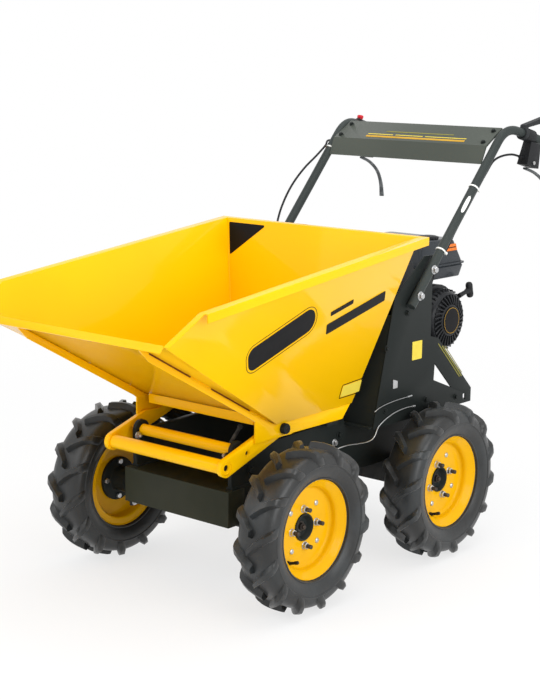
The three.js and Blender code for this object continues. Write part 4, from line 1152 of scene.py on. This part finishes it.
def add_starter_handle():
    """The rope's neck and the cross grip, in the place of its CAD node."""
    lean = -1.35
    origin = at(CRANK[0] - 78, (RECOIL_INNER + RECOIL_OUTER) / 2 - 4, CRANK[1] + 56)
    up = Vector((math.sin(lean), 0, math.cos(lean)))
    matrix = facing(origin, up, (math.cos(lean), 0, -math.sin(lean)))
    neck = rounded([(0, -4), (6.8, -4), (6.2, 12), (5.8, 26), (9.4, 42), (0, 42)], [0, 1, 6, 8, 2, 0])
    steps = 20
    rings = []
    for k in range(steps + 1):
        share = 2 * k / steps - 1
        radius = 10.9 * math.sqrt(max(0.02, 1 - abs(share) ** 5)) * (1 - 0.10 * math.cos(share * math.pi / 2))
        rings.append([matrix @ mm(share * 22.8, y * 0.98, 48 + z) for y, z in circle(radius, 20)])
    piece(
        "pull_handle", {"plastic": joined(lathe(neck, 24, matrix), outward(bridged(rings)))}, "chassis", 40,
        replaces=["starter_handle"],
    )


def rounded_block(lower, upper, radius):
    """A block between two rectangles, [x0, x1, y0, y1, z], with its upright corners rounded."""
    rings = []
    layers = [(lower, 0.25), (lower, 0.0), (upper, 0.0), (upper, 0.34), (upper, 0.7), (upper, 1.0)]
    rise = (0, 2.5, -radius * 0.62, -radius * 0.26, -radius * 0.07, 0)
    for ((x0, x1, y0, y1, z), inset), lift in zip(layers, rise):
        draw = radius * 0.62 * inset
        outline = panel(x0 + draw, x1 - draw, y0 + draw, y1 - draw, radius * 0.8, 5)
        rings.append([at(px, py, z + lift) for px, py in outline])
    return outward(bridged(rings))


def add_fuel_tank():
    x0, x1, y0, y1 = CRANK[0] - 110, CRANK[0] + 87, -80, 170
    low = CRANK[1] + 106
    foot, head = (x0 + 4, x1 - 4, y0 + 4, y1 - 4, low), (x0 - 2, x1 + 2, y0 - 2, y1 + 2, low + 38)
    lower = rounded_block(foot, head, 12)
    flat = Matrix.Translation(at(0, 0, 0))
    seam = prism(panel(x0 - 8, x1 + 8, y0 - 8, y1 + 8, 20, 6), low + 36.2, low + 40.8, flat)
    foot, head = (x0, x1, y0, y1, low + 39), (x0 + 16, x1 - 16, y0 + 16, y1 - 16, TANK_TOP - 0.3)
    upper = rounded_block(foot, head, 14)
    piece("petrol_tank", {"tank": joined(lower, seam, upper)}, "chassis", 34, 0.8, replaces=["fuel_tank"])
    lean = 16 / (TANK_TOP - low - 40)
    middle = low + 80
    face = y1 - (middle - low - 40) * lean
    matrix = facing(at(CRANK[0] - 64, face + 0.4, middle), (0, 1, lean), (1, 0, 0))
    label = prism(panel(-27, 23, -9, 9, 2), -0.8, 0.5, matrix)
    stripe = prism(panel(-24, 20, -1, 1.4, 0.6), 0.5, 0.8, matrix)
    piece("tank_label", {"orange_film": label, "black_film": stripe}, "chassis")
    cap = facing(at(CRANK[0] - 18, 118, TANK_TOP + 0.3), (0, 0, 1))
    ridge = rounded([(-1, -2), (1.4, -1.2), (1.4, 1.2), (-1, 2)], [0.5] * 4)
    ridges = [prism(ridge, 0.8, 6, spun(cap, 2 * math.pi * k / 18, 26.4)) for k in range(18)]
    dome = rounded([(0, 0), (26.6, 0), (26.6, 6.4), (20, 8.4), (0, 8.6)], [0, 0.8, 1.8, 4, 0])
    lid = joined(lathe(dome, 48, cap), *ridges)
    piece("tank_cap", {"plastic": lid}, "chassis", 34, replaces=["fuel_cap"])


def add_engine_details():
    """Cooling fins, cover screws, the exhaust's guard slats, the filter's ribs and the spark plug lead."""
    x0, z0 = CRANK
    fins = [block_part(x0 + 84, x0 + 190, -76, 76, z, z + 3.2) for z in (z0 - 30 + k * 13 for k in range(7))]
    piece("cylinder_fins", {"cast": joined(*fins)}, "chassis", bevel=0.7)
    bolts = []
    for x, z in ((-70, -88), (62, -88), (-74, 40), (60, -30)):
        bolts += [bolt(at(x0 + x, 110 * side, z0 + z), (0, side, 0), 10) for _, side in SIDES]
    for k in range(5):
        turn = 2 * math.pi * k / 8
        bolts.append(bolt(at(x0 + 62 * math.cos(turn), -190, z0 + 62 * math.sin(turn)), (0, -1, 0), 8))
    piece("engine_bolts", {"steel": joined(*bolts)}, "chassis", 30)
    starts = [x0 + 122 + k * 9.5 for k in range(9)]
    slats = [block_part(x, x + 4, -192, -40, z0 + 154, z0 + 156.4) for x in starts]
    piece("exhaust_guard", {"cast": joined(*slats)}, "chassis", bevel=0.8)
    starts = [x0 + 126 + k * 15 for k in range(6)]
    ribs = [block_part(x, x + 5, 52, 166, z0 + 164, z0 + 168.2) for x in starts]
    piece("filter_ribs", {"plastic": joined(*ribs)}, "chassis", bevel=1.2)
    route = ((180, 60, 30), (205, 78, 42), (196, 108, 34), (150, 124, 12), (112, 130, 6))
    lead = through([(x0 + x, y, z0 + z) for x, y, z in route], 28)
    piece("plug_lead", {"cable": joined(rod(lead, 3.4, 12), rod(lead[:6], 7.5))}, "chassis", 40)


add_recoil_starter()
add_starter_handle()
add_fuel_tank()
add_engine_details()

# ---------------------------------------------------------------- handlebar


def flipped(point, side):
    return at(point[0], point[1] * side, point[2])


def handle_line(side, steps=22):
    """The tube's centre line: straight, one bend, straight, as in the CAD model."""
    foot, corner, tip = (flipped(p, side) for p in (HANDLE_FOOT, HANDLE_CORNER, HANDLE_TIP))
    down, back = (foot - corner).normalized(), (tip - corner).normalized()
    tangent = HANDLE_BEND * MM / math.tan(down.angle(back) / 2)
    start, end = corner + down * tangent, corner + back * tangent
    points = [foot.lerp(start, k / 8) for k in range(8)]
    for k in range(steps + 1):
        t = k / steps
        points.append(start * (1 - t) ** 2 + corner * 2 * t * (1 - t) + end * t**2)
    points += [end.lerp(tip, k / 6) for k in range(1, 7)]
    return points


def tube_frame(side, distance):
    """On the tube behind its bend: Z up, X towards the grip, Y across."""
    corner, tip = flipped(HANDLE_CORNER, side), flipped(HANDLE_TIP, side)
    back = (tip - corner).normalized()
    across = Vector((0, 0, 1)).cross(back).normalized()
    return Matrix.Translation(corner + back * (distance * MM)) @ axes(back, across, back.cross(across))


def below_bend(side, distance):
    """On the straight part below the bend: Z up the tube, X to the machine's side."""
    foot, corner = flipped(HANDLE_FOOT, side), flipped(HANDLE_CORNER, side)
    up = (corner - foot).normalized()
    return facing(foot + up * (distance * MM), up, (0, side, 0))


def add_tubes():
    for label, side in SIDES:
        tube = rod(handle_line(side), TUBE_RADIUS - 0.05, 32)
        # the tube's lighter paint is a painted highlight on the chassis paint
        piece(f"handlebar_{label}", {"tube": tube}, "chassis", 40, 0.8, replaces=[f"handle_tube_{label}"])
        bolts = []
        for share in (0.06, 0.2):
            place = flipped(HANDLE_FOOT, side).lerp(flipped(HANDLE_CORNER, side), share)
            bolts.append(bolt(place + Vector((0, side * (TUBE_RADIUS - 1.5) * MM, 0)), (0, side, 0), 15))
        piece(f"tube_bolts_{label}", {"steel": joined(*bolts)}, "chassis", 30)


def add_grips():
    total = (Vector(HANDLE_TIP) - Vector(HANDLE_CORNER)).length
    for label, side in SIDES:
        matrix = tube_frame(side, total - GRIP_LENGTH + 8.3) @ Matrix.Rotation(math.pi / 2, 4, "Y")
        profile = [(12.3, 0), (20.5, 0), (21, 1.2), (21, 4), (18, 6.5), (16, 9)]
        for k in range(9):
            low = 14 + k * 10.6
            profile += [(15.9, low), (15.0, low + 1.6), (15.0, low + 3.6), (15.9, low + 5.2)]
        profile += [(15.9, 114), (15, 121), (11.5, 124.8), (0.05, 124.8), (0.05, 117), (12.3, 117)]
        rings = [[matrix @ mm(*p, height) for p in circle(radius, 36)] for radius, height in profile]
        sleeve = outward(bridged(rings, loop=True))
        piece(f"hand_grip_{label}", {"grip": sleeve}, "chassis", 36, replaces=[f"grip_{label}"])


# [along the tube, up] from the perch to a clutch lever's tip
LEVER_LINE = ((14, -87.3), (64, -91), (114, -108), (144, -137), (162, -174))
LEVER_STEPS = 26


def lever_section(share):
    """[across the machine, thickness], with a waist halfway along."""
    wide, thick = 6.9 - 2.2 * math.sin(share * math.pi), 2.8
    outline = rounded([(-thick, -wide), (thick, -wide), (thick, wide), (-thick, wide)], [1.4] * 4, 2)
    return [(b, a) for a, b in outline]


def add_levers():
    for label, side in SIDES:
        matrix = tube_frame(side, PERCH_PLACE)
        across = matrix.to_3x3().col[1].normalized()
        line = [matrix @ p for p in curve_through([mm(x, 0, z) for x, z in LEVER_LINE], LEVER_STEPS)]
        rings = []
        for k, point in enumerate(line):
            tangent = (line[min(k + 1, LEVER_STEPS)] - line[max(k - 1, 0)]).normalized()
            normal = across.cross(tangent).normalized()
            section = lever_section(k / LEVER_STEPS)
            rings.append([point + across * (a * MM) + normal * (b * MM) for a, b in section])
        places = [facing(matrix @ mm(22, 18.5 * way, -70), across * way) for way in (-1, 1)]
        screws = joined(*(hexagon_head(place, 9, 4) for place in places))
        parts = {"alloy": outward(bridged(rings)), "steel": screws}
        piece(f"clutch_blade_{label}", parts, "chassis", 36, replaces=[f"clutch_lever_{label}"])


def add_drive_lever():
    matrix = tube_frame(1, PERCH_PLACE - 25)
    turn = matrix @ Matrix.Rotation(math.pi / 2, 4, "X")
    outline = rounded(
        [(-7, 15), (7, 15), (8, 19), (80, 50), (190, 60), (190, 72), (72, 63), (4, 28), (-7, 22)],
        [1, 0.5, 3, 30, 4, 4, 26, 6, 3], 5,
    )
    blade = outward(prism(outline, -9, 9, turn))
    sleeve = matrix @ Matrix.Rotation(math.pi / 2, 4, "Y")
    ring = lathe(rounded([(12.3, -7), (18, -7), (18, 7), (12.3, 7)], [0.3, 1.2, 1.2, 0.3]), 36, sleeve)
    # a thin lighter strip along the middle of the blade's face: a painted highlight
    inner = prism(rounded([(84, 54), (184, 63.5), (184, 68.5), (76, 59)], [1.5] * 4), 9, 9.5, turn)
    parts = {"cast": joined(blade, ring), "alloy": outward(inner)}
    piece("drive_bail", parts, "chassis", 36, 1.2, replaces=["drive_lever"])


def add_stop_switch():
    matrix = tube_frame(-1, PERCH_PLACE - 29)
    sleeve = matrix @ Matrix.Rotation(math.pi / 2, 4, "Y")
    ring = lathe(rounded([(12.3, -11), (18, -11), (18, 11), (12.3, 11)], [0.3, 1.5, 1.5, 0.3]), 36, sleeve)
    stem = [(0, 13), (7.4, 13), (7.4, 19), (9, 20.5), (9, 26.5), (7, 28), (0, 28)]
    stem = lathe(rounded(stem, [0, 0, 1, 1, 1.4, 1.4, 0]), 32, matrix)
    piece("engine_stop", {"red": stem, "plastic": ring}, "chassis", 36, replaces=["stop_switch"])


DECK_HOLE = 366.3  # the height at which both cables end, in the engine deck


def beside(distance, off):
    """A point by the left tube, off to its rear and below or, if negative, in front and above."""
    foot, corner = Vector(HANDLE_FOOT), Vector(HANDLE_CORNER)
    down = (foot - corner).normalized()
    place = foot - down * distance
    return Vector((place.x + down.z * off, place.y, place.z - down.x * off))


def cable_points():
    """The routes of the cables held along the handlebar, as in the CAD model, in millimetres."""
    gap = TUBE_RADIUS + 3 + 1
    left = tube_frame(1, PERCH_PLACE) @ Vector((-0.006, 0, -0.062))
    start = Vector(((left.x - MIDDLE_X) / MM, left.y / MM, left.z / MM))
    over = Vector((start.x + 48, HANDLE_Y + 9, start.z + 10))
    places = ((500, 7), (450, 1), (350, 0), (250, 0), (205, 3))
    along = [beside(d, gap + off) for d, off in places]
    down = [(-352, HANDLE_Y - 22, 752), (-338, 222, 670), (-318, 224, 540), (-300, 224, DECK_HOLE)]
    near = [start, over, *along, *down]
    outside = beside(520, 6)
    outside.y += gap + 8
    places = ((476, 6), (430, 18), (370, 36), (305, 46), (250, 44), (205, 34))
    bow = [beside(d, -gap - off) for d, off in places]
    fall = [(-268, HANDLE_Y - 18, 792), (-262, 230, 740), (-262, 224, 600), (-270, 224, DECK_HOLE)]
    return near, [start, outside, *bow, *fall]


def add_cables():
    near, far = cable_points()
    right = [(x, -y, z) for x, y, z in far]
    for label, line in (("left", through(near, 132)), ("right", through(right, 144))):
        parts = {"cable": joined(rod(line, CABLE_RADIUS, 12), rod(line[:5], FERRULE_RADIUS))}
        piece(f"control_cable_{label}", parts, "chassis", 40, replaces=[f"cable_{label}"])
    rail, side = RAIL_OUTER + 2.05, SIDE_PLATE_OUTER + 2.05
    route = [
        (-20, rail, 304), (-42, rail + 20, 314), (-66, side, 336), (-94, side + 1, 366),
        (-150, side + 1, 387), (-208, side, 393), (-250, side, 391),
    ]
    wire = through(route, 80)
    ends = [rod(end, 2 * WIRE_RADIUS, 12) for end in (wire[:4], wire[-5:])]
    parts = {"steel": joined(rod(wire, WIRE_RADIUS, 10), *ends)}
    piece("brake_cable", parts, "chassis", 40, replaces=["brake_wire"])


TAG_TURN = -0.72


def add_ties():
    """Nylon ties round the tubes and cables, and a blank tag."""
    bands = []
    for side, distance in ((1, 179), (1, 386), (-1, 486)):
        matrix = below_bend(side, distance)
        ring = rounded([(12.2, -2.2), (13.6, -2.2), (13.6, 2.2), (12.2, 2.2)], [0.3] * 4, 2)
        bands.append(lathe(ring, 36, matrix))
        head = matrix @ Matrix.Translation(mm(11.5, 9, 0))
        bands.append(prism(panel(-3, 4, -3, 3, 0.8), -3, 3, head))
    matrix = below_bend(1, 326)
    tag = []
    for k in range(25):
        share = 2 * k / 24 - 1
        half = 5.0 * math.sqrt(max(0.02, 1 - share**4))
        row = []
        for radius, step in ((12.15, 1), (12.9, -1)):
            for j in range(7)[::step]:
                angle = (j / 3 - 1) * half / 12.5 + TAG_TURN
                row.append(matrix @ mm(radius * math.cos(angle), radius * math.sin(angle), share * 27))
        tag.append(row)
    bands.append(outward(bridged(tag)))
    piece("tube_ties", {"nylon": joined(*bands)}, "chassis", 36)


# along the console from its right end, up its face from the fold, and the film
CONSOLE_STRIPES = (
    (-150, 178, 11, 19, "ochre_film"),
    (-150, -64, 25, 28, "yellow_film"),
    (-56, 36, 25, 28, "yellow_film"),
    (44, 178, 25, 28, "yellow_film"),
    (-96, 128, 40, 44, "dull_film"),
)


def add_console_trim():
    """Blank stripes on the console's upper face, and the bolt holes at its ends."""
    low, high = Vector((-534, 0, 1048)), Vector((-612, 0, 1092))
    across, up = Vector((0, 1, 0)), (high - low).normalized()
    normal = across.cross(up)
    matrix = Matrix.Translation(at(*low)) @ axes(across, up, normal)
    stripes = {"ochre_film": [], "yellow_film": [], "dull_film": []}
    for y0, y1, low_v, high_v, kind in CONSOLE_STRIPES:
        stripes[kind].append(outward(prism(panel(y0, y1, low_v, high_v, 1), 0.05, 0.5, matrix)))
    piece("console_stripes", {kind: joined(*parts) for kind, parts in stripes.items()}, "chassis")
    screws = [bolt(matrix @ mm(y, v, 0.2), normal, 9) for y in (-238, 238) for v in (14, 70)]
    piece("console_bolts", {"chassis": joined(*screws)}, "chassis", 30)


add_tubes()
add_grips()
add_levers()
add_drive_lever()
add_stop_switch()
add_cables()
add_ties()
add_console_trim()

# ---------------------------------------------------------------- floor, light and world


FLOOR_WHITE_NEAR = 0.72
FLOOR_REACH = 30
WORLD_LEVEL = 0.9


def seen_directly(tree):
    """1 for rays that see a surface straight, in gloss or through glass, else 0."""
    path = tree.nodes.new("ShaderNodeLightPath")
    total = path.outputs["Is Camera Ray"]
    for name in ("Is Glossy Ray", "Is Transmission Ray"):
        larger = add_node(tree, "ShaderNodeMath", {0: total, 1: path.outputs[name]}, operation="MAXIMUM")
        total = larger.outputs[0]
    return total


def make_floor():
    """A pale floor that keeps the machine's soft shadow and fades to white with distance."""
    material = bpy.data.materials.new("studio_floor")
    material.use_nodes = True
    tree = material.node_tree
    values = {"Base Color": (0.86, 0.86, 0.86, 1), "Roughness": 0.9, "Specular IOR Level": 0.1}
    shader = plug(tree.nodes["Principled BSDF"], values)
    glow = tree.nodes.new("ShaderNodeEmission")
    place = tree.nodes.new("ShaderNodeTexCoord").outputs["Object"]
    length = add_node(tree, "ShaderNodeVectorMath", {0: place}, operation="LENGTH").outputs["Value"]
    values = {"From Min": 0.9, "From Max": 3.2, "To Min": FLOOR_WHITE_NEAR, "To Max": 1.0, "Value": length}
    fade = add_node(tree, "ShaderNodeMapRange", values, interpolation_type="SMOOTHSTEP").outputs["Result"]
    values = {0: fade, 1: seen_directly(tree)}
    share = add_node(tree, "ShaderNodeMath", values, operation="MULTIPLY").outputs[0]
    mix = add_node(tree, "ShaderNodeMixShader", {0: share, 1: shader.outputs[0], 2: glow.outputs[0]})
    plug(tree.nodes["Material Output"], {"Surface": mix.outputs[0]})
    mesh = bpy.data.meshes.new("floor")
    corners = [(x * FLOOR_REACH, y * FLOOR_REACH, 0) for x, y in ((-1, -1), (1, -1), (1, 1), (-1, 1))]
    mesh.from_pydata(corners, [], [(0, 1, 2, 3)])
    mesh.materials.append(material)
    floor = bpy.data.objects.new("floor", mesh)
    floor.location.z = -0.0005
    bpy.context.scene.collection.objects.link(floor)


def make_world():
    world = bpy.data.worlds.new("studio")
    bpy.context.scene.world = world
    world.use_nodes = True
    tree = world.node_tree
    values = {"To Min": WORLD_LEVEL, "To Max": 1.0, "Value": seen_directly(tree)}
    level = add_node(tree, "ShaderNodeMapRange", values).outputs["Result"]
    plug(tree.nodes["Background"], {"Color": (1, 1, 1, 1), "Strength": level})


def add_light(name, place, target, size, power):
    data = bpy.data.lights.new(name, "AREA")
    data.shape = "RECTANGLE"
    data.size, data.size_y = size
    data.energy = power
    light = bpy.data.objects.new(name, data)
    light.location = place
    light.rotation_mode = "QUATERNION"
    light.rotation_quaternion = (Vector(place) - Vector(target)).to_track_quat("Z", "Y")
    bpy.context.scene.collection.objects.link(light)


add_light("overhead", (0.2, 0.6, 3.4), (0.1, 0, 0.5), (2.6, 2.6), 40)
add_light("key", (3.0, -1.2, 2.4), (0.1, 0, 0.5), (2.0, 2.0), 21)
add_light("side", (0.6, 3.6, 1.6), (0, 0, 0.5), (2.6, 1.8), 55)
make_floor()
make_world()

scene = bpy.context.scene
scene.view_settings.view_transform = "Standard"

bpy.context.view_layer.update()
